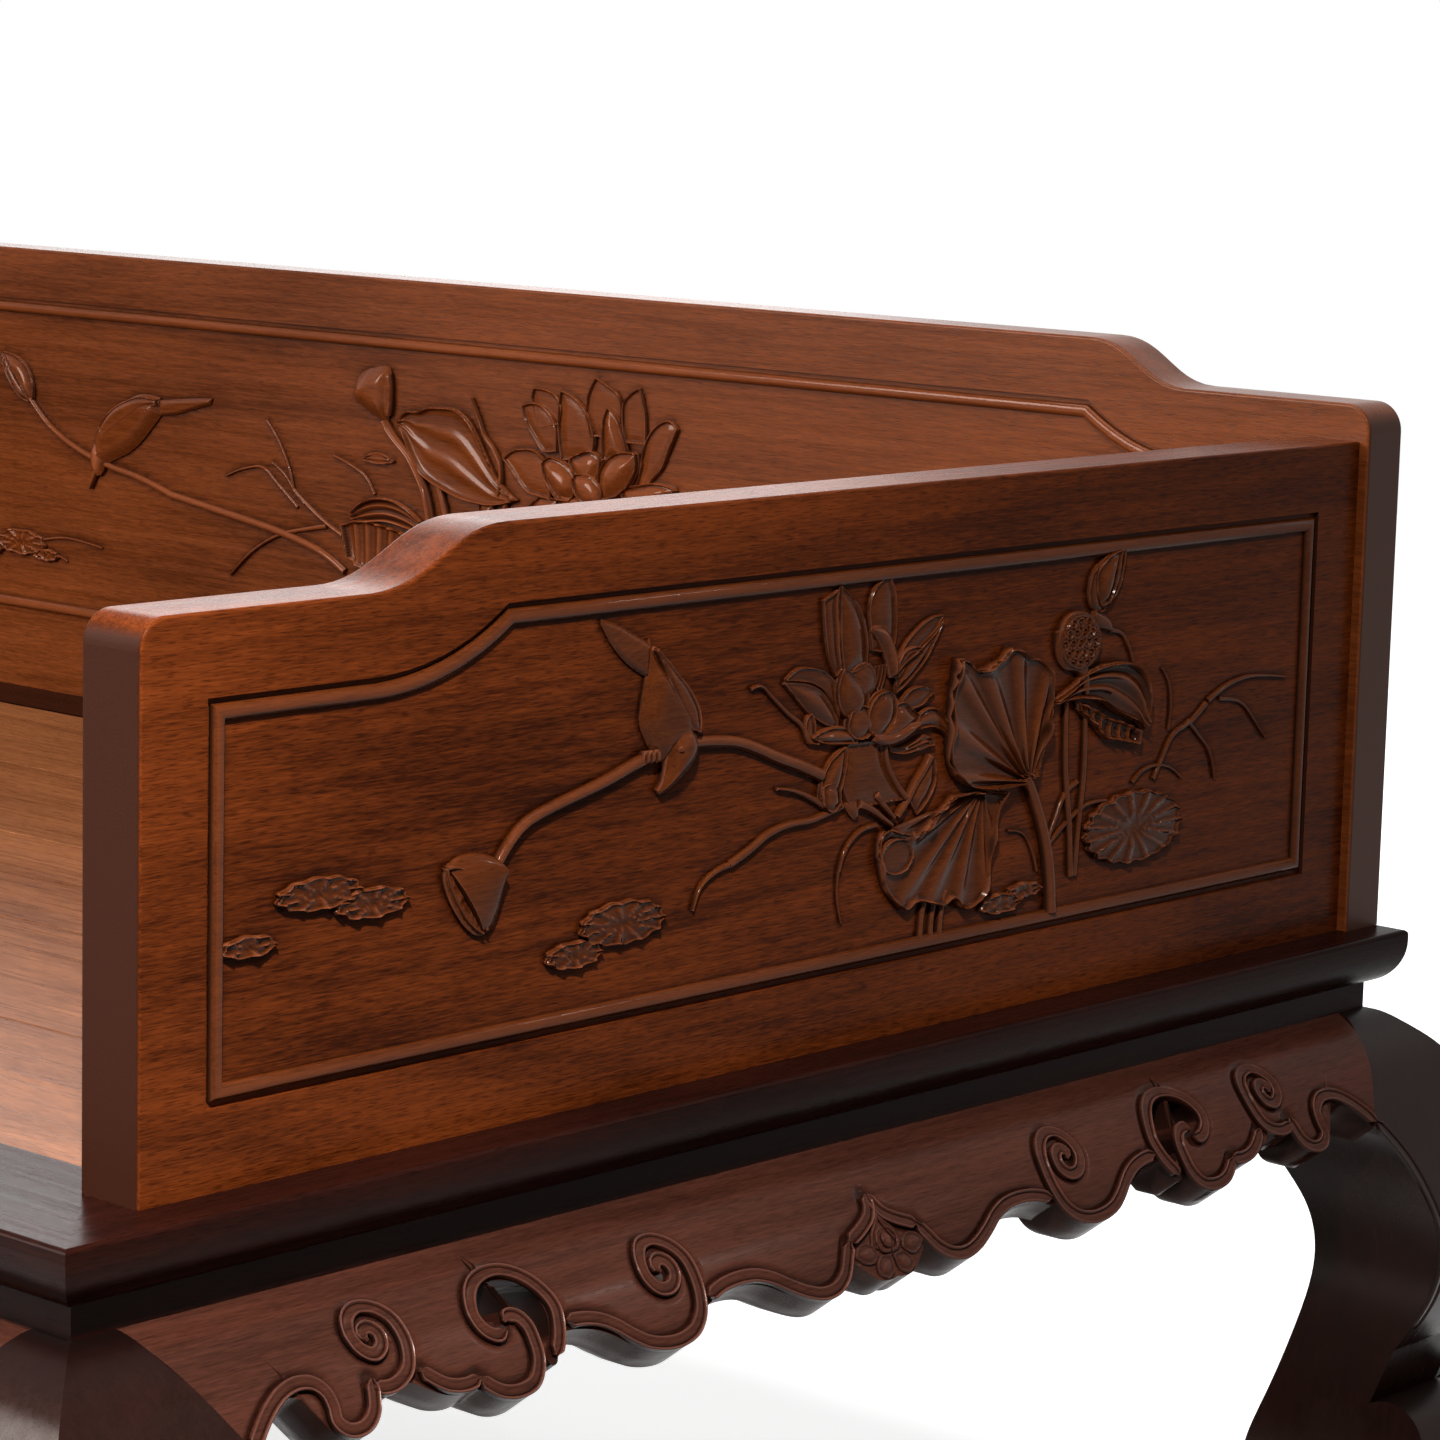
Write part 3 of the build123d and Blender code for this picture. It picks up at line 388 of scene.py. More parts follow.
# ---------------------------------------------------------------- relief forms
class Drawing:
    """Carved forms on one face, laid out in the face's own two coordinates and the height
    out of it, all in millimetres."""

    def __init__(self, relief):
        self.relief = relief
        self.sheets = []
        self.edges = []

    def patch(self, left, right, rise, step=0.95, rows=None, cols=None):
        """A form ruled between two edge lines. Its height is rise(u, v, rim, a, b), with
        u along the lines, v from the left line to the right, rim the distance from the
        edge, and a, b the place on the face. Stations crowd towards the edges."""
        left, right = smooth_line(left, EDGE_POINTS), smooth_line(right, EDGE_POINTS)
        length = length_of((left + right) / 2)
        width = np.linalg.norm(left - right, axis=1).max()
        rows = rows or int(np.clip(length / step, *FORM_ROWS))
        cols = cols or int(np.clip(width / step, *FORM_COLS))
        u, v = eased(rows), eased(cols)
        edge_l, edge_r = at_stations(left, u), at_stations(right, u)
        flat = edge_l[:, None, :] * (1 - v)[None, :, None] + edge_r[:, None, :] * v[None, :, None]
        ends = [smooth_line([left[end], right[end] + NUDGE], END_POINTS) for end in (0, -1)]
        outline = np.concatenate([left, right, *ends])
        rim = nearest(flat.reshape(-1, 2), outline)[0].reshape(rows, cols)
        along, across = np.meshgrid(u, v, indexing="ij")
        height = rise(along, across, rim, flat[..., 0], flat[..., 1]) * self.relief
        self.sheets.append((flat, height))
        skip = int(np.clip(EDGE_POINTS * EDGE_PITCH / max(length, 1), 1, MOST_SKIPPED))
        self.edges.append(np.concatenate([left[::skip], right[::skip]]))

    def shells(self, place):
        """The forms as closed shells: place(a, b, h) puts a point in the room."""
        made = []
        for flat, height in self.sheets:
            front = place(flat[..., 0], flat[..., 1], height)
            back = place(flat[..., 0], flat[..., 1], np.full_like(height, -ROOT_DEPTH))
            # Painted highlight where a place stands above its neighbours, painted shade where it lies below
            # them and on low forms, and full painted shade on the buried back, which darkens the walls
            # towards their foot.
            relative = height - softened(height)
            shade = np.where(relative > 0, -PAINTED_RIDGE_HIGHLIGHT, PAINTED_HOLLOW_SHADE) * np.abs(relative)
            shade = np.clip(shade + PAINTED_LOW_SHADE * np.clip(1 - height / PAINTED_SHADE_HEIGHT, 0, 1), -1, 1)
            made.append((*slab(front, back), np.concatenate([shade.ravel(), np.ones(shade.size)])))
        return made

    def disc(self, centre, half_a, half_b, rise, turn=0.0, frill=0.0, lobes=9, step=1.3):
        """An ellipse, its outline waved by frill in so many lobes, as a patch between its
        upper and its lower half."""
        angle = np.linspace(np.pi, 0, DISC_POINTS)

        def half(sign):
            wave = 1 + frill * np.cos(lobes * angle + sign)
            a = half_a * wave * np.cos(angle)
            b = sign * half_b * wave * np.sin(angle) + sign * DISC_GAP
            a, b = a * np.cos(turn) - b * np.sin(turn), a * np.sin(turn) + b * np.cos(turn)
            return np.stack([centre[0] + a, centre[1] + b], axis=1)

        self.patch(half(1), half(-1), rise, step=step)

    def stalk(self, points, start_width, end_width, base=0.4, crown=None, step=2.0):
        """A round stem along a line, tapering from one width to the other."""
        line = smooth_line(points, STALK_POINTS)
        normal = normals_of(line)
        half = np.linspace(start_width, end_width, len(line))[:, None] / 2
        crown = STALK_ROUND * max(start_width, end_width) if crown is None else crown
        rows = int(np.clip(length_of(line) / step, *STALK_ROWS))
        self.patch((line + half * normal)[::3], (line - half * normal)[::3], rounded(base, crown),
                   rows=rows, cols=STALK_COLS)


def swell(rim, reach):
    """A quarter sine from 0 at the edge to 1 at reach from it."""
    return np.sin(np.clip(rim / reach, 0, 1) * np.pi / 2)


def rounded(base, crown):
    """Height of a half-round bar: base, plus crown times a half ellipse across."""
    return lambda u, v, rim, a, b: base + crown * np.sqrt(np.clip(1 - (2 * v - 1) ** 2, 0, 1))


def domed(base, crown, reach):
    """Height of a pillow: base at the edge, rising by crown within reach of it."""
    return lambda u, v, rim, a, b: base + crown * swell(rim, reach)


def lip_line(rim, lip, width=0.75):
    """A narrow raised lip just inside the edge: a bell curve of that height and width."""
    return lip * np.exp(-((rim - 0.8 * width) / width) ** 2)


def lipped(base, crown, reach, lip=1.3):
    """Height of a petal: a sharp lip along the edge, a hollow just inside it, and a
    convex middle that rises within reach of the edge."""
    def rise(u, v, rim, a, b):
        middle = crown * swell(rim - LIP_HOLLOW, reach) ** 1.5
        return base * np.clip(0.45 + rim / LIP_HOLLOW, 0, 1) + middle + lip_line(rim, lip)
    return rise


def pleated(base, crown, ribs, deep, across=True, curl=0.0):
    """Height of a fan leaf: narrow round ribs along v with wide hollows between them,
    running together at the foot; the leaf rises to a thick lip that waves with them."""
    def rise(u, v, rim, a, b):
        turn, out = (u, v) if across else (v, u)
        rib = np.abs(np.cos(np.pi * ribs * turn)) ** 5
        sag = np.sin(np.pi * ribs * turn) ** 2
        wave = 0.5 + 0.5 * np.cos(2 * np.pi * ribs * turn)
        pleat = deep * (rib * (1 - 0.35 * out) - 0.35 * sag * np.sin(np.pi * out))
        body = base + crown * out ** 1.5 + pleat
        return body * np.clip(0.5 + rim / 1.5, 0, 1) + lip_line(rim, LEAF_LIP + curl * wave, LEAF_LIP_WIDTH)
    return rise


def padded_leaf(centre, half_a, half_b, base, crown, veins):
    """Height of a lily pad: veins running out from its centre, a low dome with a dimple,
    and a curled edge."""
    def rise(u, v, rim, a, b):
        along, up = (a - centre[0]) / half_a, (b - centre[1]) / half_b
        out, turn = np.hypot(along, up), np.arctan2(up, along)
        vein = (0.5 + 0.5 * np.cos(veins * turn)) ** 6
        dome = crown * (1.1 - 0.5 * np.exp(-(out / 0.3) ** 2) - 0.5 * out ** 2)
        return ((base + dome) * np.clip(0.4 + rim / 1.5, 0, 1) + vein * np.clip(out * 3, 0, 1)
                + lip_line(rim, PAD_LIP))
    return rise


def seeded(base, crown, reach, pitch, bump):
    """Height of a seed head: a dome set with round holes in offset rows, each with a
    raised rim and a seed in it."""
    def rise(u, v, rim, a, b):
        lift = pitch * np.sqrt(3) / 2
        row = np.round(b / lift)
        shift = 0.5 * (row % 2)
        out = np.hypot(a - (np.round(a / pitch - shift) + shift) * pitch, b - row * lift) / pitch
        ring = np.exp(-((out - 0.36) / 0.1) ** 2) - 0.9 * np.exp(-((out - 0.22) / 0.08) ** 2)
        seed = 0.6 * np.exp(-(out / 0.12) ** 2)
        inner = np.clip((rim - 1.5) / 1.0, 0, 1)
        return base + crown * swell(rim, reach) + bump * inner * (ring + seed) + lip_line(rim, 0.5)
    return rise


def feathered(base, crown, reach, pitch, bump, slant):
    """Height of plumage: a pillow with fine lines that run aslant."""
    def rise(u, v, rim, a, b):
        lines = np.sin(2 * np.pi * (a * np.cos(slant) + b * np.sin(slant)) / pitch)
        return base + crown * swell(rim, reach) + bump * lines * np.clip(rim / reach, 0, 1)
    return rise


# ---------------------------------------------------------------- side panel's carving
def side_pads(drawing):
    """Lily pads floating along the foot of the side panel's field."""
    pads = (
        ((-406, 546), 17, 5.5, 0.06, 7, 5), ((-361, 566), 27, 8, 0.05, 11, 9),
        ((-326, 557), 24, 7.5, 0.05, 9, 9), ((-148, 523), 31, 11.5, 0.04, 13, 11),
        ((-184, 511), 20, 7, 0.05, 9, 9), ((165, 492), 18, 6, 0.06, 7, 7),
        ((187, 497), 15, 4.5, 0.06, 7, 7),
    )
    for centre, half_a, half_b, frill, lobes, veins in pads:
        drawing.disc(centre, half_a, half_b, padded_leaf(centre, half_a, half_b, 1.0, 1.2, veins),
                     frill=frill, lobes=lobes, step=1.0)
    centre = (288, 522)
    drawing.disc(centre, 46, 21, padded_leaf(centre, 46, 21, 1.2, 1.6, 15),
                 frill=0.035, lobes=19, step=1.1)


def side_pod_and_bird(drawing):
    """The bent seed head on its stalk, and the bird perched on it."""
    drawing.patch([(-276, 568), (-268, 572), (-257, 573), (-247, 571), (-240, 567.5), (-238, 563)],
                  [(-250, 531), (-246, 531.5), (-241, 538), (-238, 548), (-236.5, 557), (-236, 562)],
                  rounded(1.0, 4.6))
    drawing.disc((-263, 549.5), 22.5, 8, seeded(1.6, 0.6, 4, 6.0, 0.45), turn=-0.955)
    drawing.stalk([(-277, 568), (-275, 561), (-268, 548), (-259, 537), (-250, 531)], 1.8, 1.8, base=2.6,
                  crown=1.0)
    drawing.stalk([(-277, 568), (-268, 567), (-259, 556), (-252, 543), (-249, 532)], 1.6, 1.6, base=3.2,
                  crown=1.0)
    drawing.stalk([(-242, 563), (-231, 576), (-222, 583), (-208, 588), (-190, 592.5), (-172, 596.5),
                   (-155, 601), (-142, 605), (-128, 608)], 6, 7.5, crown=3.2)
    drawing.stalk([(-99, 612), (-80, 611), (-60, 608), (-45, 603), (-30, 597), (-10, 590), (10, 582)],
                  6.5, 8, crown=3.2)
    drawing.patch([(-131, 667), (-145, 674), (-158, 680), (-168, 683)],
                  [(-133, 650), (-146, 657), (-158, 667), (-168, 680)],
                  feathered(1.2, 1.6, 3, 4.0, 0.08, 2.0), step=0.8)
    drawing.patch([(-95, 612), (-94.5, 621), (-97, 631), (-104, 641), (-116, 653), (-128, 662),
                   (-131.5, 670)],
                  [(-120, 604), (-129, 611), (-134, 618), (-138, 627), (-137, 635), (-134.5, 648),
                   (-133, 668)],
                  feathered(1.2, 4.4, 13, 3.4, 0.05, 1.1))
    drawing.patch([(-95.5, 617), (-97, 630), (-104, 641), (-116, 653), (-130, 666)],
                  [(-104, 620), (-110, 628), (-117, 639), (-124, 652), (-131.5, 664)],
                  lipped(4.6, 1.2, 4, lip=0.9))
    drawing.patch([(-104, 624), (-98, 619), (-95, 611), (-98, 603), (-106, 596), (-115, 591), (-124, 588)],
                  [(-107, 624), (-114, 621), (-118.5, 614), (-119, 606), (-120.5, 599), (-122, 594),
                   (-125, 590)], domed(3.0, 4.2, 10))
    drawing.disc((-113, 611), 1.5, 1.5, domed(6.6, 0.9, 1.5), step=0.5)
    for foot in (-135, -131, -127):
        drawing.disc((foot, 608.5), 1.8, 3.4, domed(3.6, 1.6, 2), step=0.6)


def side_lotus(drawing):
    """The open lotus flower in the middle of the side panel, from the back petals to the
    front ones, each standing higher than the last."""
    drawing.patch([(45, 648), (43, 662), (42, 673), (46, 682), (52, 686.5), (58, 688.5)],
                  [(63, 645), (66, 655), (66, 668), (64, 680), (60, 687.5)], lipped(1.0, 0.9, 9))
    drawing.patch([(16, 636), (9, 648), (6, 660), (4.5, 670), (3.5, 679)],
                  [(21, 640), (18.5, 650), (17, 662), (15.5, 674), (16, 684)], lipped(1.0, 0.8, 6))
    drawing.patch([(22, 636), (19, 650), (17.5, 662), (17, 674), (17, 686)],
                  [(41, 640), (41, 655), (38.5, 664), (33, 674), (25, 681), (18.5, 686)],
                  lipped(1.6, 1.6, 9))
    drawing.patch([(66, 628), (76, 640), (88, 647), (98, 653), (106, 661.5)],
                  [(66, 622), (80, 629), (92, 639), (101, 650), (106.5, 659)], lipped(1.0, 1.4, 4))
    drawing.patch([(64, 634), (72, 648), (82, 656), (94, 662), (106, 663.5)],
                  [(66, 628), (76, 640), (88, 647), (98, 653), (106.5, 662)], lipped(1.2, 0.4, 6, lip=1.0))
    drawing.patch([(66, 640), (72, 646), (80, 648), (87, 647)],
                  [(66, 634), (75, 639), (82, 643), (87, 646)], lipped(2.2, 0.8, 3))
    drawing.patch([(16, 634), (8, 640), (-4, 643.5), (-15, 644), (-25, 639)],
                  [(20, 612), (13, 622), (5, 630), (-5, 634.5), (-15, 636.5), (-25, 637.5)],
                  lipped(1.2, 0.6, 6, lip=1.0))
    drawing.patch([(20, 612), (13, 622), (5, 630), (-5, 634.5), (-15, 636.5), (-25.5, 637.5)],
                  [(18, 607), (5, 612), (-6, 618), (-16, 627), (-26.5, 636)], lipped(1.4, 2.4, 7, lip=0.5))
    drawing.patch([(70, 616), (77, 623), (85, 625), (93, 624), (99.5, 621)],
                  [(72, 609), (80, 612), (88, 613), (95, 617), (99.5, 620)], lipped(1.6, 0.6, 5, lip=1.0))
    drawing.patch([(34, 603), (28, 607), (18, 609.5), (8, 609), (-4, 605.5)],
                  [(34, 598), (20, 598.5), (8, 600), (-4, 604.5)], lipped(2.0, 1.6, 4))
    drawing.patch([(-6, 602), (-9, 610), (-7, 617), (-3, 619)],
                  [(4, 600), (1, 607), (0, 613), (-2, 618)], lipped(1.2, 0.8, 3))
    drawing.disc((38, 632), 11, 10.5, seeded(1.8, 1.4, 8, 2.6, 0.12))
    drawing.patch([(20, 640), (16, 631), (17, 622), (24, 613), (34, 610)],
                  [(21, 641), (30, 637), (38, 631), (43, 623), (40, 614)], lipped(2.4, 1.9, 8, lip=1.0))
    for lean in (48, 51, 54, 57):
        drawing.stalk([(lean - 3, 626), (lean, 633), (lean + 1, 640)], 0.9, 1.3, base=1.0, crown=1.0,
                      step=1.0)
    drawing.patch([(60, 632), (57, 641), (51, 651), (43, 659)],
                  [(66, 632), (65, 643), (61, 653), (53, 661), (43, 661.5)], domed(2.6, 3.0, 5))
    drawing.patch([(58, 612), (64, 617), (72, 618), (80, 613), (86, 609)],
                  [(46, 599), (58, 595), (68, 596), (77, 600), (85, 605)], lipped(2.6, 2.2, 7))
    drawing.patch([(46, 602.5), (56, 601), (66, 602), (76, 605), (85, 605.5)],
                  [(46, 598.5), (57, 594.5), (67, 595.5), (77, 599), (85, 603)], domed(4.2, 1.4, 3))
    drawing.patch([(40, 600), (30, 601), (24, 607), (25, 614)],
                  [(50, 606), (46, 614), (37, 619.5), (27, 617)], lipped(3.0, 1.5, 6))
    drawing.patch([(48, 599), (40, 606), (40, 615), (46, 623), (54, 626)],
                  [(54, 600), (62, 606), (65, 614), (63, 622), (57, 626)], lipped(3.6, 1.6, 7, lip=1.1))
    drawing.patch([(84, 607), (92, 611.5), (101, 611.5), (110, 606), (121, 592)],
                  [(82, 600), (90, 600), (100, 600), (108, 597), (117, 588)], lipped(1.4, 1.6, 6))
    drawing.patch([(60, 595), (72, 592.5), (84, 594.5), (92, 597), (101, 593)],
                  [(62, 590), (75, 587.5), (86, 588), (93, 589), (101, 590)], lipped(1.6, 1.6, 4))
    drawing.stalk([(-52, 636), (-45, 637), (-35, 630), (-22, 620), (-10, 612), (-2, 600)], 2, 4)


def side_under_lotus(drawing):
    """Calyx leaves, blades and the left bud below the lotus."""
    drawing.patch([(27, 599), (24, 587), (24, 574), (31, 562)],
                  [(56, 598), (60, 586), (68, 574), (79, 562)], lipped(1.4, 1.0, 9, lip=0.7))
    drawing.patch([(4, 571), (6, 582), (14, 592), (25, 598)],
                  [(10, 564), (20, 570), (25, 580), (27, 594)], lipped(1.6, 1.8, 6))
    drawing.patch([(5, 577), (12, 579), (20, 576)], [(7, 566), (14, 562), (22, 566)], lipped(2.4, 1.6, 4))
    drawing.patch([(26, 566), (28, 562), (34, 556)], [(36, 566), (38, 561), (38, 556)], domed(1.6, 1.2, 3))
    drawing.stalk([(99, 584), (93, 577), (86, 570), (79, 561), (70, 552)], 5, 4, base=1.0)
    drawing.stalk([(58, 594), (60, 585), (67, 574), (78, 563)], 3, 4.5, base=1.6)
    drawing.stalk([(38, 564), (48, 560), (58, 554), (66, 549)], 6, 3, base=1.0)
    drawing.stalk([(52, 568), (60, 560), (68, 553)], 5, 3, base=1.2)
    drawing.patch([(80, 562), (86, 572), (95, 580), (100, 584)],
                  [(88, 552), (98, 560), (104, 570), (103, 582)], lipped(1.2, 1.4, 6))
    drawing.stalk([(-30, 580), (-15, 577), (-2, 572), (10, 566)], 2, 5)
    drawing.stalk([(-94, 522), (-88, 534), (-78, 540), (-65, 543)], 1.5, 4)
    drawing.stalk([(-66, 543), (-50, 549), (-35, 556), (-20, 559), (0, 559.5), (12, 561.5), (28, 565)], 5, 4)
    drawing.stalk([(24, 528), (28, 538), (40, 548), (56, 550)], 2.5, 3.5)
    drawing.stalk([(27, 499), (23, 515), (24, 529)], 1.2, 2.5)


def side_leaves(drawing):
    """The big folded leaf, the drooping fan leaf under it and the curled leaf."""
    drawing.patch([(140, 560), (142, 559.5), (144, 559.5), (147, 560)],
                  [(118, 560), (104, 550), (88, 541), (72, 543), (58, 546), (54, 536), (57, 524), (61, 514),
                   (69, 506), (79, 499), (90, 503), (98, 501), (106, 499), (113, 497), (121, 501),
                   (128, 494), (138, 493), (147, 498), (152, 508), (154, 520), (157, 535), (161, 548),
                   (166, 557)],
                  pleated(1.0, 1.0, 9, 1.3, curl=0.8), rows=116, cols=44)
    drawing.disc((70, 531), 14, 10.5, lipped(2.6, 0.3, 6, lip=1.3))
    drawing.patch([(181, 560), (180.5, 562), (182, 564), (184.5, 564), (186, 562), (185.5, 560)],
                  [(150, 560), (132, 563), (117, 572), (113, 582), (112, 595), (113, 610), (115, 625),
                   (119, 637.5), (127, 635), (134, 630), (142, 630), (152, 632.5), (158, 634), (164, 639.5),
                   (173, 637), (181, 633), (190, 631), (197, 626), (202, 617), (205, 607), (202, 597),
                   (200, 587), (195, 574), (189, 563)],
                  pleated(1.4, 1.8, 8, 2.4, curl=1.0), rows=130, cols=52)
    drawing.stalk([(185, 563), (195, 545), (202, 530), (207, 515), (210, 500), (212, 478)], 7, 8, base=1.0)
    for foot in (95, 104, 112):
        drawing.stalk([(foot + 4, 506), (foot + 1, 495), (foot, 478)], 4, 4.5)
    drawing.stalk([(172, 533), (185, 530), (195, 518), (200, 505)], 1.5, 2.5)
    drawing.patch([(208, 606), (222, 611), (238, 619), (260, 622), (280, 620), (292, 611), (297, 598),
                   (296, 585)],
                  [(207, 602), (222, 604), (238, 603), (252, 600), (262, 594), (274, 589), (285, 585),
                   (292, 580)],
                  pleated(1.8, 1.6, 3, 1.8, across=False, curl=0.5), step=1.1)
    drawing.patch([(228, 603), (245, 597), (260, 590), (275, 586), (290, 580)],
                  [(230, 597), (244, 588), (256, 578), (270, 575), (288, 571)],
                  pleated(1.2, 0.8, 7, 1.4, curl=0.9), step=1.0)


def side_heads(drawing):
    """The seed head with its holes, the closed bud above it, and their stalks."""
    drawing.patch([(209, 644), (209, 632), (217, 622), (230, 618), (236, 606)],
                  [(222, 652), (226, 640), (236, 632), (240, 622), (240, 606)], rounded(0.8, 2.6))
    drawing.disc((229, 638), 19.5, 16.5, seeded(2.8, 1.0, 3, 7.0, 0.9), turn=-0.35, step=0.55)
    drawing.patch([(250, 652), (240, 656), (237, 665), (240, 675), (246, 681)],
                  [(254, 654), (250, 662), (249, 671), (248, 680)], lipped(1.2, 1.4, 5))
    drawing.patch([(252, 654), (262, 660), (268, 668), (271, 680), (271, 688)],
                  [(252, 660), (257, 668), (262, 678), (266, 688)], lipped(1.4, 1.2, 5))
    drawing.patch([(248, 656), (243, 666), (244, 677), (252, 684), (266, 688.5)],
                  [(256, 657), (261, 665), (264, 675), (267, 687)], lipped(2.2, 2.6, 8))
    drawing.patch([(243, 655), (250, 652), (258, 648), (262, 642)],
                  [(241, 651), (246, 646), (254, 642), (260, 640)], domed(1.6, 1.6, 3))
    drawing.stalk([(261, 641), (272, 638), (279, 630), (284, 620)], 3, 2.4)
    drawing.stalk([(221, 603), (223, 560), (228, 530), (231, 496)], 4.2, 4.6)
    drawing.stalk([(239, 600), (240, 560), (237, 530), (234, 496)], 4.2, 4.4)


def side_grasses(drawing):
    """Reeds and grasses at the right of the side panel."""
    reeds = (
        ([(313, 614), (320, 605), (323, 590), (321, 575)], 1.6, 2.2),
        ([(308, 548), (316, 560), (325, 572), (345, 580), (360, 590)], 2.6, 3.6),
        ([(360, 590), (380, 598), (400, 601), (418, 600), (441, 597)], 3.6, 1.4),
        ([(372, 590), (395, 585), (410, 572), (422, 560)], 3.0, 1.4),
        ([(340, 580), (352, 570), (364, 558), (370, 540)], 3.0, 1.4),
        ([(288, 548), (297, 554), (310, 556), (325, 553), (337, 545)], 2.6, 1.6),
        ([(207, 520), (215, 535), (225, 550), (236, 555)], 2.6, 3.4),
        ([(210, 521), (225, 531), (245, 540), (265, 540)], 3.0, 2.6),
    )
    for points, start_width, end_width in reeds:
        drawing.stalk(points, start_width, end_width)


SIDE_WORK = (
    ("lily_pads", (side_pads,)),
    ("bird", (side_pod_and_bird,)),
    ("lotus", (side_lotus, side_under_lotus)),
    ("leaves", (side_leaves,)),
    ("reeds", (side_heads, side_grasses)),
)


# ---------------------------------------------------------------- back panel's carving
def back_stem(drawing):
    """The long bent stem with its bud, and the bird on it."""
    drawing.stalk([(-282, 667), (-262, 650), (-240, 638), (-225, 632), (-180, 620), (-150, 615),
                   (-100, 602)], 4.5, 6, crown=2.6)
    drawing.stalk([(-110, 604.5), (-60, 598), (-30, 594), (0, 590), (40, 583), (70, 575), (100, 560)],
                  6, 6.5, crown=2.8)
    drawing.patch([(-281, 665), (-290, 670), (-303, 682), (-318, 703)],
                  [(-278, 668), (-279, 682), (-288, 695), (-316, 704)], lipped(1.4, 3.0, 7))
    drawing.patch([(-284, 664), (-298, 668), (-312, 682), (-322, 700)],
                  [(-281, 668), (-292, 678), (-306, 690), (-320, 702)], lipped(1.0, 1.6, 5))
    drawing.patch([(-122, 678), (-95, 681), (-75, 683), (-60, 684)],
                  [(-121, 666), (-100, 669), (-78, 675), (-62, 679)],
                  feathered(1.2, 1.6, 3, 4.0, 0.10, 1.6), step=0.9)
    drawing.patch([(-203, 612), (-203, 630), (-200, 642), (-188, 660), (-166, 673), (-145, 681), (-122, 680)],
                  [(-196, 612), (-190, 619), (-175, 627), (-160, 633), (-145, 643), (-132, 655), (-120, 667)],
                  feathered(1.2, 4.2, 12, 3.4, 0.05, 0.4), step=1.0)
    drawing.patch([(-192, 652), (-178, 666), (-160, 675), (-140, 680), (-122, 679)],
                  [(-186, 640), (-168, 652), (-150, 662), (-136, 670), (-121, 674)],
                  lipped(4.4, 1.4, 4, lip=0.9), step=0.9)
    drawing.disc((-196, 625), 9, 13, domed(2.6, 3.0, 9))
    drawing.stalk([(-199, 616), (-203, 607), (-206, 600)], 6, 1.6, base=1.4, crown=2.2, step=1.0)


def back_reeds(drawing):
    """Grasses in the middle of the back panel, and pads at its left foot."""
    reeds = (
        ([(3.5, 672), (15, 660), (28, 640), (35, 620)], 1.6, 3.0),
        ([(35, 621), (60, 605), (92, 590)], 3.0, 4.0),
        ([(-43, 625), (-20, 633), (0, 635), (15, 625), (42, 606)], 1.6, 3.2),
        ([(-37, 548), (-10, 570), (20, 585), (50, 592), (76, 597)], 1.8, 4.2),
        ([(80, 651), (100, 645), (115, 638), (126, 624)], 1.8, 3.4),
        ([(10, 640), (24, 632), (38, 618), (48, 610)], 1.6, 2.6),
        ([(-267, 553), (-240, 557), (-215, 556), (-190, 553)], 2.4, 1.4),
        ([(-264, 541), (-250, 542), (-235, 538)], 2.4, 1.4),
    )
    for points, start_width, end_width in reeds:
        drawing.stalk(points, start_width, end_width)
    for centre, half_a, half_b in (((-294, 549), 30, 10), ((-262, 541), 15, 5), ((-335, 541), 17, 6)):
        drawing.disc(centre, half_a, half_b, padded_leaf(centre, half_a, half_b, 1.0, 1.2, 9),
                     frill=0.05, lobes=9, step=1.0)
    drawing.patch([(112, 652), (122, 657), (134, 657), (146, 653)],
                  [(112, 650), (122, 649), (134, 649), (146, 651)], lipped(1.0, 1.0, 3))


def back_head_and_leaves(drawing):
    """The seed head turned aside, the large hanging leaf and the small curled leaves."""
    drawing.patch([(149.5, 682.5), (160, 691), (174, 692.5), (182, 695.5), (196, 697), (213, 696.5),
                   (226, 690), (236, 679), (246, 664), (256, 650), (266, 642), (278, 635)],
                  [(150, 681), (157, 672), (166, 658), (176, 646), (188, 640), (200, 636), (213, 632),
                   (233, 629), (256, 629), (270, 632), (277, 634.5)],
                  pleated(1.0, 1.4, 3, 0.8, across=False, curl=0.5), rows=120, cols=60)
    drawing.stalk([(138, 682), (142.5, 675.5), (152, 667), (164, 658), (173, 647), (179, 638), (186, 620),
                   (190, 600)], 4.5, 5.5, base=3.2, crown=2.6)
    drawing.patch([(137, 681), (116, 689), (101, 699), (104, 710), (113, 718), (124, 721.5)],
                  [(138.5, 681), (142, 690), (143.5, 702), (143, 713), (140.5, 721.5), (126, 721.8)],
                  domed(1.2, 5.0, 14))
    drawing.disc((141, 702), 3.6, 18, seeded(3.4, 0.6, 2, 5.0, 0.5), step=0.7)
    drawing.patch([(100, 610), (115, 620), (138, 624), (160, 620), (178, 610)],
                  [(104, 602), (120, 604), (140, 606), (160, 604), (178, 600)],
                  pleated(1.4, 1.2, 3, 1.4, across=False, curl=0.5))
    drawing.patch([(92, 600), (110, 605), (132, 604), (158, 600), (184, 592)],
                  [(100, 575), (114, 568), (132, 565), (152, 566), (174, 572)],
                  pleated(1.2, 0.8, 7, 1.5, curl=0.9))
    drawing.patch([(238, 630), (236, 614), (228, 596), (214, 580)],
                  [(252, 632), (256, 616), (252, 596), (240, 578)], lipped(1.2, 1.4, 6))
    drawing.stalk([(228, 706), (237, 691), (242.5, 680), (252.5, 670), (259, 660), (260, 646), (256, 634)],
                  1.4, 4.0, base=1.6)
    drawing.stalk([(196, 637), (205, 612), (210, 590), (212, 560), (212, 494)], 6, 7.5, base=0.8)
    drawing.stalk([(268, 636), (258, 610), (250, 570), (248, 494)], 5, 6)


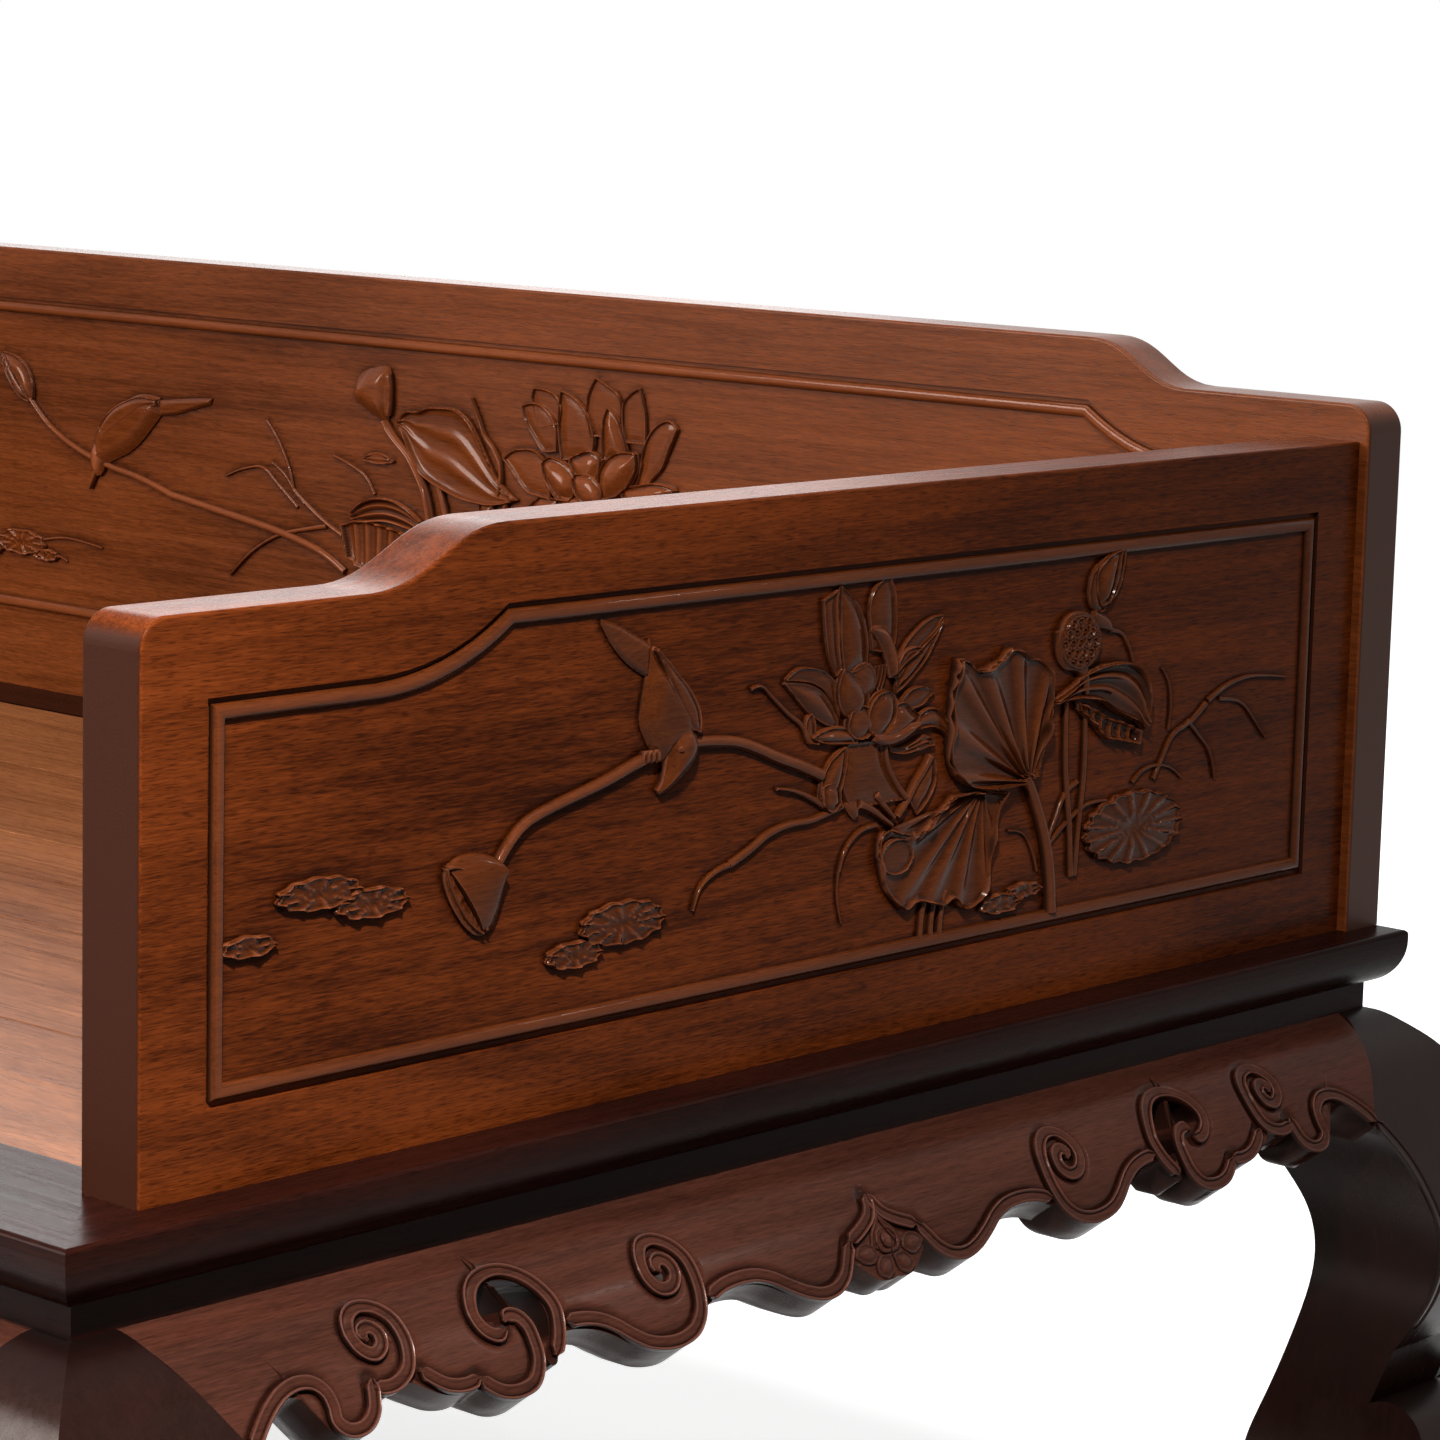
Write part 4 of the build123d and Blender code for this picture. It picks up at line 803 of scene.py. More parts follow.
def back_lotus(drawing):
    """The open lotus at the right of the back panel, from the back petals to the front."""
    petals = (
        ([(350, 688), (345, 704), (347, 718), (354, 730)],
         [(376, 688), (381, 704), (378, 719), (366, 726), (355, 730.5)], 0.8, 0.4, 9),
        ([(384, 686), (381, 704), (382, 715), (388, 721), (397, 726)],
         [(405, 686), (404.5, 704), (402, 716), (398, 726)], 0.8, 0.4, 7),
        ([(300, 690), (293, 702), (290, 711), (292, 718)],
         [(319, 694), (321, 706), (316, 714), (306, 718), (293, 718.5)], 0.8, 0.4, 8),
        ([(322, 668), (318, 690), (318, 704), (320, 718)],
         [(352, 672), (355, 688), (350.5, 699), (342.5, 709), (331, 716), (321, 718.5)], 1.2, 0.6, 10),
        ([(304, 672), (293.5, 682.5), (286, 691.5), (281.5, 704)],
         [(318, 674), (317, 690), (312, 699), (303, 706), (292, 707.8), (282, 705)], 1.6, 0.5, 8),
        ([(394, 652), (400, 668), (401.5, 680), (407.5, 693), (417, 702), (429, 704.8), (435.5, 700)],
         [(402, 650), (410, 659), (421, 670), (427, 681.5), (433, 693.5), (436, 699)], 1.0, 0.8, 8),
        ([(364, 672), (363, 689.5), (364, 701), (368, 710)],
         [(390, 672), (387.5, 682), (382, 695.5), (376, 705), (368.5, 710.5)], 2.2, 2.4, 9),
        ([(312, 638), (300, 640), (289.5, 641.5), (280, 648), (272, 656), (263, 664)],
         [(314, 652), (308, 664), (296, 673), (284, 673.5), (272, 671), (263.5, 665)], 1.4, 0.5, 9),
        ([(344, 650), (335, 660), (331, 669), (341, 675)],
         [(356, 650), (361, 662), (362.5, 672), (354, 677.5), (343, 676)], 2.4, 2.4, 9),
        ([(366, 643), (361, 655), (362, 664), (368, 672), (380, 678.5), (396, 680)],
         [(381, 647), (393.5, 658), (399, 670), (398, 679)], 3.2, 3.6, 12),
        ([(321, 639), (313, 646.5), (306, 656), (305, 666), (312, 670)],
         [(334, 639), (341, 650), (337, 660), (325, 668), (314, 670.5)], 3.2, 3.6, 12),
        ([(386, 642), (404, 640), (422, 646), (436, 656)],
         [(382, 654), (398, 657), (416, 660), (434, 658)], 2.0, 2.0, 7),
        ([(352, 636), (344, 640), (338, 647), (336, 656)],
         [(366, 638), (366, 650), (356, 660), (339, 660)], 3.8, 2.4, 8),
        ([(300, 640), (290, 632), (284, 620), (286, 606)],
         [(320, 640), (316, 626), (306, 614), (290, 604)], 1.2, 1.4, 6),
        ([(372, 640), (384, 632), (396, 628), (412, 632)],
         [(366, 634), (376, 622), (392, 616), (410, 628)], 1.4, 1.6, 6),
        ([(318, 642), (330, 630), (344, 624), (358, 626)],
         [(322, 648), (340, 646), (356, 644), (368, 636)], 2.2, 2.0, 6),
    )
    for left, right, base, crown, reach in petals:
        drawing.patch(left, right, lipped(base, crown, reach, lip=1.7))
    drawing.stalk([(350, 630), (348, 612), (346, 570), (344, 494)], 6.5, 8, base=0.8)


BACK_WORK = (
    ("bird", (back_stem,)),
    ("reeds", (back_reeds,)),
    ("leaves", (back_head_and_leaves,)),
    ("lotus", (back_lotus,)),
)


# ---------------------------------------------------------------- beads and grounds
def eased_span(start, end, start_way, end_way):
    """A cubic from start to end whose end tangents have the chord's length."""
    start, end = np.array(start), np.array(end)
    chord = np.linalg.norm(end - start)
    start_way = chord * np.array(start_way) / np.linalg.norm(start_way)
    end_way = chord * np.array(end_way) / np.linalg.norm(end_way)
    return hermite(np.linspace(0, 1, STEP_POINTS)[:, None], start, end, start_way, end_way)


def straight(start, end, count=8):
    """Evenly spaced points from start up to, not with, the end."""
    return np.linspace(start, end, count, endpoint=False)


def side_loop(inset):
    """The side panel's field line at an inset, as a closed loop of matching points, and
    its upper line alone."""
    front, rear = SIDE_FRONT + MARGIN + inset, BACK_FRONT - MARGIN - inset
    foot = SEAT + MARGIN + inset
    low, high = SEAT + SIDE_LOW - MARGIN - inset, SEAT + SIDE_HIGH - MARGIN - inset
    start, end = [(SIDE_FRONT + place + STEP_LEAN * inset, level)
                  for place, level in zip(SIDE_STEP, (low, high))]
    step = eased_span(start, end, (1, 0), (1, 0.7))
    top = np.concatenate([straight((front, low), start), step, straight(end, (rear, high))[1:],
                          [(rear, high)]])
    loop = np.concatenate([top[:-1], straight((rear, high), (rear, foot)),
                           straight((rear, foot), (front, foot), 24),
                           straight((front, foot), (front, low))])
    return loop, top


def back_loop(inset):
    """The back panel's field line at an inset and its upper line, as for the side panel,
    with a step at each end."""
    half = SIDE_INNER - MARGIN - inset
    foot = SEAT + BACK_FOOT + inset
    low, high = SEAT + BACK_LOW - MARGIN - inset, SEAT + BACK_HIGH - MARGIN - inset
    low_end, high_end = (BACK_STEP[0] - STEP_LEAN * inset, low), (BACK_STEP[1] - STEP_LEAN * inset, high)
    right = eased_span(high_end, low_end, (1, -0.7), (1, 0))
    left = right[::-1] * (-1, 1)
    top = np.concatenate([straight((-half, low), left[0]), left, straight(left[-1], high_end, 24)[1:],
                          right, straight(low_end, (half, low))[1:], [(half, low)]])
    loop = np.concatenate([top[:-1], straight((half, low), (half, foot)),
                           straight((half, foot), (-half, foot), 48),
                           straight((-half, foot), (-half, low))])
    return loop, top


def bead_shell(loop_at, place):
    """A rounded bead run round a field: a superellipse's upper half across, carried along
    the loop of every inset, and closed underneath."""
    across = np.sin(np.linspace(-np.pi / 2, np.pi / 2, BEAD_POINTS))
    height = BEAD_CROWN * np.sqrt(1 - np.abs(across) ** BEAD_FULLNESS)
    inset = BEAD_OUTER + BEAD_SPAN * (across + 1) / 2
    inset = np.concatenate([inset, inset[[-1, 0]]])
    height = np.concatenate([height, [-ROOT_DEPTH, -ROOT_DEPTH]])
    loops = np.stack([loop_at(value)[0] for value in inset])
    rise = np.repeat(height[:, None], loops.shape[1], axis=1)
    # Painted shade at the bead's foot and on its buried underside, and a painted highlight along its crown.
    dark, end = BEAD_PAINTED_SHADE
    bright, start, reach = BEAD_PAINTED_HIGHLIGHT
    shade = dark * np.clip(1 - rise / end, 0, 1) - bright * np.clip((rise - start) / reach, 0, 1)
    return (place(loops[..., 0], loops[..., 1], rise).reshape(-1, 3), grid_quads(*rise.shape, looped=True),
            shade.ravel())


def ground_shell(loop_at, place, edges, columns, rows):
    """The tooled ground inside a bead: a thin sheet between the field's foot and its
    upper line, which dips beside the carving and carries painted shade beside the
    carving and along the bead."""
    loop, top = loop_at(BEAD_OUTER + BEAD_SPAN - GROUND_LAP)
    foot = loop[:, 1].min()
    a = np.linspace(top[0, 0], top[-1, 0], columns)
    upper = np.interp(a, top[:, 0], top[:, 1])
    share = np.linspace(0, 1, rows)[:, None]
    b = foot + share * (upper - foot)[None, :]
    a = np.repeat(a[None, :], rows, axis=0)
    gap = nearest(np.stack([a, b], axis=-1).reshape(-1, 2), edges)[0].reshape(a.shape)
    border = np.minimum(np.minimum(a - a[0, 0], a[0, -1] - a), np.minimum(b - foot, upper[None, :] - b))
    # Painted shade: close to the carving, fainter farther off, and along the bead.
    near = np.exp(-(gap / PAINTED_CLOSE_SHADE[1]) ** 2)
    shade = np.clip(PAINTED_CLOSE_SHADE[0] * near + PAINTED_WIDE_SHADE[0] * np.exp(-gap / PAINTED_WIDE_SHADE[1])
                    + PAINTED_BORDER_SHADE[0] * np.exp(-(border / PAINTED_BORDER_SHADE[1]) ** 2), 0, 1)
    front = place(a, b, GROUND_LIFT - GROUND_DIP * near)
    back = place(a, b, np.full(a.shape, -ROOT_DEPTH))
    return (*slab(front, back), np.concatenate([shade.ravel(), shade.ravel()]))


# ---------------------------------------------------------------- aprons
def bulge_line():
    """The bulging face in section, 0.5 mm apart: arc length, reach and drop, and the
    outward normal."""
    line = smooth_line(BULGE, int(2 * length_of(BULGE)))
    return run_along(line), line, -normals_of(line)


FACE_ARC, FACE_LINE, FACE_NORMAL = bulge_line()


def on_face(s, height):
    """Reach and drop of a point at arc length s down the bulge, height out of it. Past
    the ends the face runs on straight."""
    reach = np.interp(s, FACE_ARC, FACE_LINE[:, 0])
    drop = np.interp(s, FACE_ARC, FACE_LINE[:, 1])
    past = np.clip(s - FACE_ARC[-1], 0, None)
    reach = reach - past * FACE_NORMAL[-1, 1]
    drop = drop + past * FACE_NORMAL[-1, 0]
    out = np.interp(s, FACE_ARC, FACE_NORMAL[:, 0]), np.interp(s, FACE_ARC, FACE_NORMAL[:, 1])
    return reach + height * out[0], drop + height * out[1]


# Centre lines of the cord on half of the short apron: distance from the middle, arc
# length down the face. The middle part, one scroll group and the end part are apart, so
# that a longer apron can have the group twice.
CARTOUCHE = [(0, 39), (5, 50), (14, 56), (22, 59.5), (28, 62)]
CARTOUCHE_FOOT = [(0, 82), (6, 83), (11, 82.5), (18, 78), (24, 72), (28, 65)]
FIRST_LOBE = [(28, 62), (33, 69), (40, 78), (50, 83.5), (60, 84.2), (70, 81.5), (82, 75.5), (94, 68.5),
              (104, 65), (116, 63.8), (130, 65), (143, 69)]
SCROLL = [(168, 50), (170, 46), (166, 43), (160.5, 46), (159.5, 53), (165, 58.5), (173, 58), (179, 50),
          (177.5, 40), (171, 32.5), (163, 31.5), (155, 35.5), (148.5, 44), (146.5, 56), (147.5, 66),
          (151, 75), (158, 82), (170, 85.8), (182, 85.5), (193, 82.5), (202, 77), (211, 70), (220, 65),
          (229, 62.3), (243, 61)]
RING = [(284, 57), (289, 58.5), (297, 54), (300, 46), (297, 37), (290, 29.5), (280, 25.5), (268, 26),
        (258, 32), (250.5, 42), (247, 53), (249, 62), (253, 70), (258, 76)]
LOBE_CURL = [(283, 53), (279.5, 50.5), (274, 51.5), (269.5, 57), (268.5, 66), (270, 76), (277, 85),
             (288, 87.5), (300, 85), (307, 80), (311, 76)]
FOURTH_LOBE = [(311, 76), (322, 77.2), (332, 74.8), (340, 69.5), (346, 64)]
END_SCROLL = [(370, 44), (371, 39), (366.5, 37), (362, 41), (363, 47.5), (369, 51), (376, 47), (378.5, 39),
              (374, 29.5), (366, 25.5), (357, 27.5), (350.5, 34), (348, 44), (349, 54), (353, 62),
              (360, 66.5), (368, 68), (377, 66)]
END_LINE = [(377, 62), (379, 70), (382, 77), (387, 81.5), (394, 83.5), (401, 82), (405.5, 77), (405, 70),
            (406.5, 62), (412, 56.5), (421, 54.5), (431, 56.5), (441, 62), (450, 69.5), (459, 79)]

# The hole through the board beside the ring, and how the scroll groups are spaced.
HOLE = [(252.5, 50), (254, 42), (260, 35), (269, 30.5), (279, 30), (288, 33.5), (294, 40), (295.5, 46),
        (292, 50.5), (287, 51), (281.5, 48), (275, 46.5), (268.5, 50), (265, 57), (264.5, 64), (262, 68.5),
        (257.5, 67.5), (254, 62), (252.5, 55), (252.5, 50)]
HOLE_POINTS = 160
HOLE_MIDDLE, HOLE_REACH = 274, 40   # every point of it lies this near its middle
GROUP_END = (360, 66.5)     # where a scroll group's edge ends
STRETCH_LEVEL = 66.5        # middle of the plain stretch before a group
LEAST_STRETCH = 1           # a shorter one is left out
GROUP_ROOM = 200            # with more room than this, the group comes twice

# The cord in section, from the field's side to the sawn side, against its width and
# height, and its painted shading: painted highlight on the ridges, painted shade in the
# hollow and at the edges.
CORD_ACROSS = np.array([-0.5, -0.47, -0.40, -0.32, -0.24, -0.14, 0.04, 0.22, 0.35, 0.44, 0.5])
CORD_LIFT = np.array([-0.6, 0.95, 1.28, 1.00, 0.30, 0.62, 0.82, 0.70, 0.98, 0.78, -0.6])
CORD_PAINTED_SHADING = np.array([0.9, -0.3, -1.0, -0.3, 0.85, 0.2, 0.0, 0.2, -0.5, -0.2, 0.9])
CORD_ROOT = 1.5             # it reaches this far into the wood
CORD_LEAST = 4              # stations of a cord, beside those that its length gives
CORD_TAPER = 2.5            # stations over which it is drawn in at its ends

# Edges of a grid cell: first corner, second corner, and the cell beyond.
CELL_EDGES = (((0, 0), (0, 1), (-1, 0)), ((0, 1), (1, 1), (0, 1)),
              ((1, 1), (1, 0), (1, 0)), ((1, 0), (0, 0), (0, -1)))


def scroll_shifts(half_run):
    """How far each scroll group is moved out from its place on the short apron: one group
    on half of a short apron, two on half of a long one."""
    shift = max(0.0, half_run - PATTERN_HALF)
    return [shift / 2, shift] if shift > GROUP_ROOM else [shift]


def half_cords(half_run):
    """Cord lines of half an apron, out from the middle: cartouche, first lobe, and for
    each scroll group a plain stretch where there is room, its scrolls and its lobes."""
    def moved(points, by):
        return [(d + by, s) for d, s in points]

    cords = [CARTOUCHE, FIRST_LOBE]
    last = FIRST_LOBE[-1]
    shifts = scroll_shifts(half_run)
    for shift in shifts:
        start = FIRST_LOBE[-1][0] + shift
        if start - last[0] > LEAST_STRETCH:
            cords.append([last, (0.5 * (last[0] + start), STRETCH_LEVEL), (start, FIRST_LOBE[-1][1])])
        cords += [moved(points, shift) for points in (SCROLL, RING, LOBE_CURL, FOURTH_LOBE, END_SCROLL)]
        last = (GROUP_END[0] + shift, GROUP_END[1])
    return [*cords, moved(END_LINE, shifts[-1])]


def ring_hole(shift):
    """Outline of the comma-shaped hole, from the ring's inner side and the curl."""
    return smooth_line(HOLE, HOLE_POINTS) + np.array([shift, 0])


def inside(points, outline):
    """Which points lie inside a closed outline, by counting edges crossed to the right."""
    a, b = outline, np.roll(outline, -1, axis=0)
    y = points[:, 1][:, None]
    crosses = (a[None, :, 1] > y) != (b[None, :, 1] > y)
    with np.errstate(divide="ignore", invalid="ignore"):
        slope = (b[None, :, 0] - a[None, :, 0]) / (b[None, :, 1] - a[None, :, 1])
        where = a[None, :, 0] + (y - a[None, :, 1]) * slope
    return (crosses & (points[:, 0][:, None] < where)).sum(axis=1) % 2 == 1


def on_side(points, sign):
    """Points of an apron's right half, or with sign -1 their mirror images."""
    return [(sign * d, s) for d, s in points]


def cartouche_flower(drawing):
    """The flower in the middle of an apron, in the face's d and s."""
    petals = (
        ([(0, 50), (4, 55), (9, 60), (13, 67)], [(0, 53), (2, 58), (5, 64), (9, 70)],
         lipped(0.8, 0.8, 3, lip=0.8)),
        ([(12, 67), (18, 64.5), (24, 66), (28, 70)], [(10, 72), (16, 77), (22, 76), (28, 71)],
         lipped(1.0, 1.2, 4, lip=0.9)),
        ([(9, 73), (14, 78), (15, 82), (10, 86)], [(1, 74), (1, 79), (2, 83), (9, 86.5)],
         lipped(1.0, 1.2, 4, lip=0.9)),
    )
    curl = [(1, 72), (6, 71), (8, 66), (6, 61), (2.5, 59)]
    for sign in (1, -1):
        for left, right, rise in petals:
            drawing.patch(on_side(left, sign), on_side(right, sign), rise, step=0.8)
        drawing.stalk(on_side(curl, sign), 2.4, 1.6, base=1.0, crown=1.4, step=0.7)
    drawing.disc((0, 66), 3.4, 4.2, domed(1.6, 1.6, 3), step=0.7)


def apron_placer(side):
    """place(reach, d, drop) for the apron on one side of the bed: reach out from the
    frame's edge, d along it, drop down from the seat."""
    turns, half_span, _ = SIDES[side]
    cos, sin = (1, 0, -1, 0)[turns], (0, 1, 0, -1)[turns]

    def place(reach, d, drop):
        out = half_span + reach
        x, y = out * cos - d * sin, out * sin + d * cos
        return np.stack([x, y, SEAT - drop], axis=-1) * MM

    return place


def face_placer(place):
    """place(d, s, h) on the bulging face of an apron."""
    def on(d, s, height):
        reach, drop = on_face(s, height)
        return place(reach, d, drop)
    return on


def lower_contour(columns, centres, half_width):
    """The sawn lower edge: the lowest reach, in each column, of a disc of the cord's half
    width rolled along the edge cords' centre lines."""
    across = columns[:, None] - centres[None, :, 0]
    reach = np.where(np.abs(across) < half_width,
                     centres[None, :, 1] + np.sqrt(np.clip(half_width ** 2 - across ** 2, 0, None)), 0)
    return reach.max(axis=1)


def cord_shell(on, points, width, height, step):
    """A cord along a line of the face: a profile of ridge, hollow and round, carried along
    it on its left normal and drawn in at both ends."""
    count = int(length_of(np.asarray(points, float)) / step) + CORD_LEAST
    line = smooth_line(points, count)
    normal = normals_of(line)
    from_end = np.minimum(np.arange(count), np.arange(count)[::-1])
    width = width * np.clip(from_end / CORD_TAPER, 0.25, 1)
    flat = line[:, None, :] + (CORD_ACROSS[None, :] * width[:, None])[..., None] * normal[:, None, :]
    rise = CORD_LIFT[None, :] * height * np.ones((count, 1))
    front = on(flat[..., 0], flat[..., 1], rise)
    back = on(flat[..., 0], flat[..., 1], np.full(rise.shape, -CORD_ROOT))
    # Painted shading across the profile, and full painted shade on the buried back.
    shade = CORD_PAINTED_SHADING[None, :] * np.ones((count, 1))
    return (*slab(front, back), np.concatenate([shade.ravel(), np.ones(shade.size)]))


def apron_grid(half_run, width, column_step, face_rows):
    """The face's grid: d, s and the rows' share of the way from the waist to the sawn
    edge. The columns lean out towards the ends, as the mitre does."""
    end = half_run + MITRE_FOOT[0]
    columns = np.linspace(-end, end, 2 * int(end / column_step) + 1)
    edge = [smooth_line(points, FINE_CORD * len(points)) for points in half_cords(half_run)]
    edge = np.concatenate([*edge, smooth_line(CARTOUCHE_FOOT, CARTOUCHE_POINTS)])
    contour = lower_contour(np.abs(columns), edge, width / 2)
    share = np.linspace(0, 1, face_rows) ** ROW_CROWDING
    s = share[:, None] * contour[None, :]
    above = MITRE_FOOT[1] - np.interp(s, FACE_ARC, FACE_LINE[:, 1])
    lean = (MITRE_TOP[0] - MITRE_FOOT[0]) * np.clip(above / (MITRE_FOOT[1] - MITRE_TOP[1]), 0, 1)
    return columns[None, :] * (1 + lean / end), s, share


def pierced(d, s, half_run):
    """The grid with its points beside a hole moved on to the hole's outline, the same
    points mirrored to one half, and which cells stay. The two lowest rows stay whole."""
    flat = np.stack([d, s], axis=-1).reshape(-1, 2)
    mirrored = np.stack([np.abs(flat[:, 0]), flat[:, 1]], axis=1)
    holes = [(ring_hole(shift), np.abs(mirrored[:, 0] - HOLE_MIDDLE - shift) < HOLE_REACH)
             for shift in scroll_shifts(half_run)]
    keep = np.ones(len(flat), bool)
    for hole, near in holes:
        index = np.flatnonzero(near)
        keep[index[inside(mirrored[index], hole)]] = False
    keep = keep.reshape(d.shape)
    keep[-2:] = True
    cell = keep[:-1, :-1] & keep[1:, :-1] & keep[1:, 1:] & keep[:-1, 1:]
    touched = np.zeros(d.shape, bool)
    for rows in (slice(None, -1), slice(1, None)):
        for cols in (slice(None, -1), slice(1, None)):
            touched[rows, cols] |= ~cell
    touched[-1] = False
    beside = (touched & keep).ravel()
    for hole, near in holes:
        index = np.flatnonzero(beside & near)
        away, best = nearest(mirrored[index], hole)
        index, best = index[away < SNAP_REACH], best[away < SNAP_REACH]
        flat[index, 0] = np.sign(flat[index, 0]) * hole[best, 0]
        flat[index, 1] = hole[best, 1]
        mirrored[index] = hole[best]
    return flat[:, 0].reshape(d.shape), flat[:, 1].reshape(d.shape), mirrored, cell


def groove_height(mirrored, half_run, width, depth):
    """Height of the face beside the cords: a groove with the side of a bell curve."""
    lines = [smooth_line(points, max(COARSE_LEAST, COARSE_CORD * len(points)))
             for points in half_cords(half_run)]
    gap = nearest(mirrored, np.concatenate(lines))[0]
    return -depth * np.exp(-(np.clip(gap - width / 2, 0, None) / GROOVE_SPREAD) ** 2)


def hollowed_back(share, foot_reach, foot_drop):
    """Reach and drop of the back at shares of its way down: upright, then on a slope that
    thins the board, then straight to the underside."""
    knots = run_along(APRON_BACK)
    tail = np.hypot(foot_reach - APRON_BACK[-1, 0], foot_drop - APRON_BACK[-1, 1])
    run = share[:, None] * (knots[-1] + tail)[None, :]
    past = np.clip((run - knots[-1]) / tail[None, :], 0, 1)
    return [np.interp(run, knots, APRON_BACK[:, k]) * (1 - past) + past * foot[None, :]
            for k, foot in enumerate((foot_reach, foot_drop))]


def strip_quads(upper, lower):
    """Quads between two rows of vertex numbers."""
    return np.stack([upper[:-1], upper[1:], lower[1:], lower[:-1]], axis=1)


def hole_walls(cell, number):
    """Walls through the board, from front to back, round every cell that is cut out."""
    i, j = np.nonzero(~cell)
    walls = []
    for (a_i, a_j), (b_i, b_j), (n_i, n_j) in CELL_EDGES:
        stays = cell[np.clip(i + n_i, 0, cell.shape[0] - 1), np.clip(j + n_j, 0, cell.shape[1] - 1)]
        a, b = number[i + a_i, j + a_j][stays], number[i + b_i, j + b_j][stays]
        walls.append(np.stack([a, b, b + number.size, a + number.size], axis=1))
    return np.concatenate(walls)


def apron_body(place, half_run, carving, column_step, face_rows):
    """The apron's board, closed: the bulging face from the waist to the sawn edge, the
    bevel and underside below it, the hollowed back, and the comma-shaped holes through.
    The face sinks into a groove beside every cord."""
    width, depth = carving.cord_width / MM, carving.groove_depth / MM
    d, s, share = apron_grid(half_run, width, column_step, face_rows)
    d, s, mirrored, cell = pierced(d, s, half_run)
    groove = groove_height(mirrored, half_run, width, depth).reshape(d.shape)
    reach, drop = on_face(s, groove)
    low_reach, low_drop = reach[-1] - BEVEL_IN, drop[-1] + BEVEL_DOWN
    back_reach, back_drop = hollowed_back(share, low_reach - APRON_FOOT, low_drop)
    bevel = [place(reach[-1] + (low_reach - reach[-1]) * part, d[-1],
                   drop[-1] + (low_drop - drop[-1]) * part) for part in (0.5, 1.0)]
    verts = [place(reach, d, drop).reshape(-1, 3), place(back_reach, d, back_drop).reshape(-1, 3), *bevel]

    rows, cols = d.shape
    size = rows * cols
    number = np.arange(size).reshape(rows, cols)
    grid = grid_quads(rows, cols).reshape(rows - 1, cols - 1, 4)
    quads = [grid[cell], grid[cell][:, ::-1] + size]
    foot = [number[-1], 2 * size + np.arange(cols), 2 * size + cols + np.arange(cols), number[-1] + size]
    quads += [strip_quads(upper, lower) for upper, lower in zip(foot, foot[1:])]
    quads.append(strip_quads(number[0] + size, number[0]))
    for end in (0, -1):
        cap = strip_quads(number[:, end], number[:, end] + size)
        cap = np.concatenate([cap, [[row[end] for row in foot]]])
        quads.append(cap[:, ::-1] if end else cap)
    quads.append(hole_walls(cell, number))
    # Painted shade in the grooves beside the cords, and on the bevel, the underside and the back.
    groove_painted_shade = PAINTED_GROOVE_SHADE * np.clip(-groove.ravel() / depth, 0, 1)
    rest = np.full(size + len(bevel) * cols, PAINTED_BEVEL_SHADE)
    return used_only(np.concatenate(verts), np.concatenate(quads), np.concatenate([groove_painted_shade, rest]))


def used_only(verts, quads, shade):
    """A shell without the vertices that no quad uses."""
    used, index = np.unique(quads, return_inverse=True)
    return verts[used], index.reshape(quads.shape), shade[used]


# ---------------------------------------------------------------- legs
LEG_DROP = 302.0            # height of the leg below the mitre's foot
LEG_OUTER = [(52.0, 0.129), (59.5, 0.278), (52.0, 0.381), (34.0, 0.497), (20.0, 0.585)]
LEG_INNER = [(-84.0, 0.0), (-57.0, 0.116), (-41.0, 0.232), (-35.4, 0.341), (-42.0, 0.493), (-56.0, 0.669),
             (-64.0, 0.781), (-63.0, 0.841)]
LEG_END_DROP = 255.0        # the cord runs out above the scroll
LEG_POINTS = 300            # on each edge of the leg
LEG_CORD_INSET = 0.45       # the cord's middle lies this share of its width in from the edge
LEG_CORD_STEP = 1.4         # step along it


def leg_cord(place, half_run, sign, width, height):
    """The cord down a leg's inner edge on one outer face: its path keeps half a width
    from the edge, and lies on the face's bow."""
    outer, inner = ([(reach, MITRE_FOOT[1] + share * LEG_DROP) for reach, share in line]
                    for line in (LEG_OUTER, LEG_INNER))
    outer = smooth_line([*BULGE, *outer], LEG_POINTS)
    inner = smooth_line(inner, LEG_POINTS)
    inner = inner[inner[:, 1] < LEG_END_DROP]
    path = inner - LEG_CORD_INSET * width * normals_of(inner)
    path = np.stack([sign * (half_run + path[:, 0]), path[:, 1]], axis=1)

    def on(d, drop, rise):
        return place(np.interp(drop, outer[:, 1], outer[:, 0]) + rise, d, drop)

    return cord_shell(on, path[::12], width, height, LEG_CORD_STEP)


# ---------------------------------------------------------------- materials
# The grain's noises: scale along and across the grain, detail, roughness, distortion, and
# the range of the noise that is spread out from 0 to 1.
BANDS = (1.5, 13.0, 6.0, 0.6, 1.5, 0.37, 0.63)
STREAKS = (6.0, 210.0, 4.0, 0.6, 0.0, 0.30, 0.70)
FLECKS = (60.0, 900.0, 2.0, 0.6, 0.0, 0.36, 0.72)
PORES = (100.0, 1300.0, 1.0, 0.5, 0.0, 0.55, 0.66)
CLOUD = (2.2, 5.0, 2.0, 0.5, 0.0, 0.3, 0.7)
STREAK_SHARE = 0.48         # of the streaks against the bands
FLECK_SHARE = 0.36          # of the flecks against both
TONE_SPAN = (0.22, 0.78)    # range of the mixed tone that goes from dark to light
PORE_STRENGTH = 0.85
PORE_TINT = (0.30, 0.24, 0.22, 1)   # what the colour is multiplied by in a pore
CLOUD_STRENGTH = 0.3        # the slow change moves the tone by this share of the range
SHEEN_TINT = (1.0, 0.78, 0.66, 1.0)     # colour of the polish's reflections
END_FACING = (0.7, 0.95)    # a face is sawn across the grain when it faces along it so much
END_TONE = 0.22             # brightness of such faces
END_MIX = (0.4, 0.7, 0.2)   # and their colour: shares of the dark tone, the light one and grey
END_DULLNESS = 1.7          # and roughness, against the polish
PAINTED_SHADE_STRENGTH = 0.92      # share of the painted shade in a recess where the attribute is 1
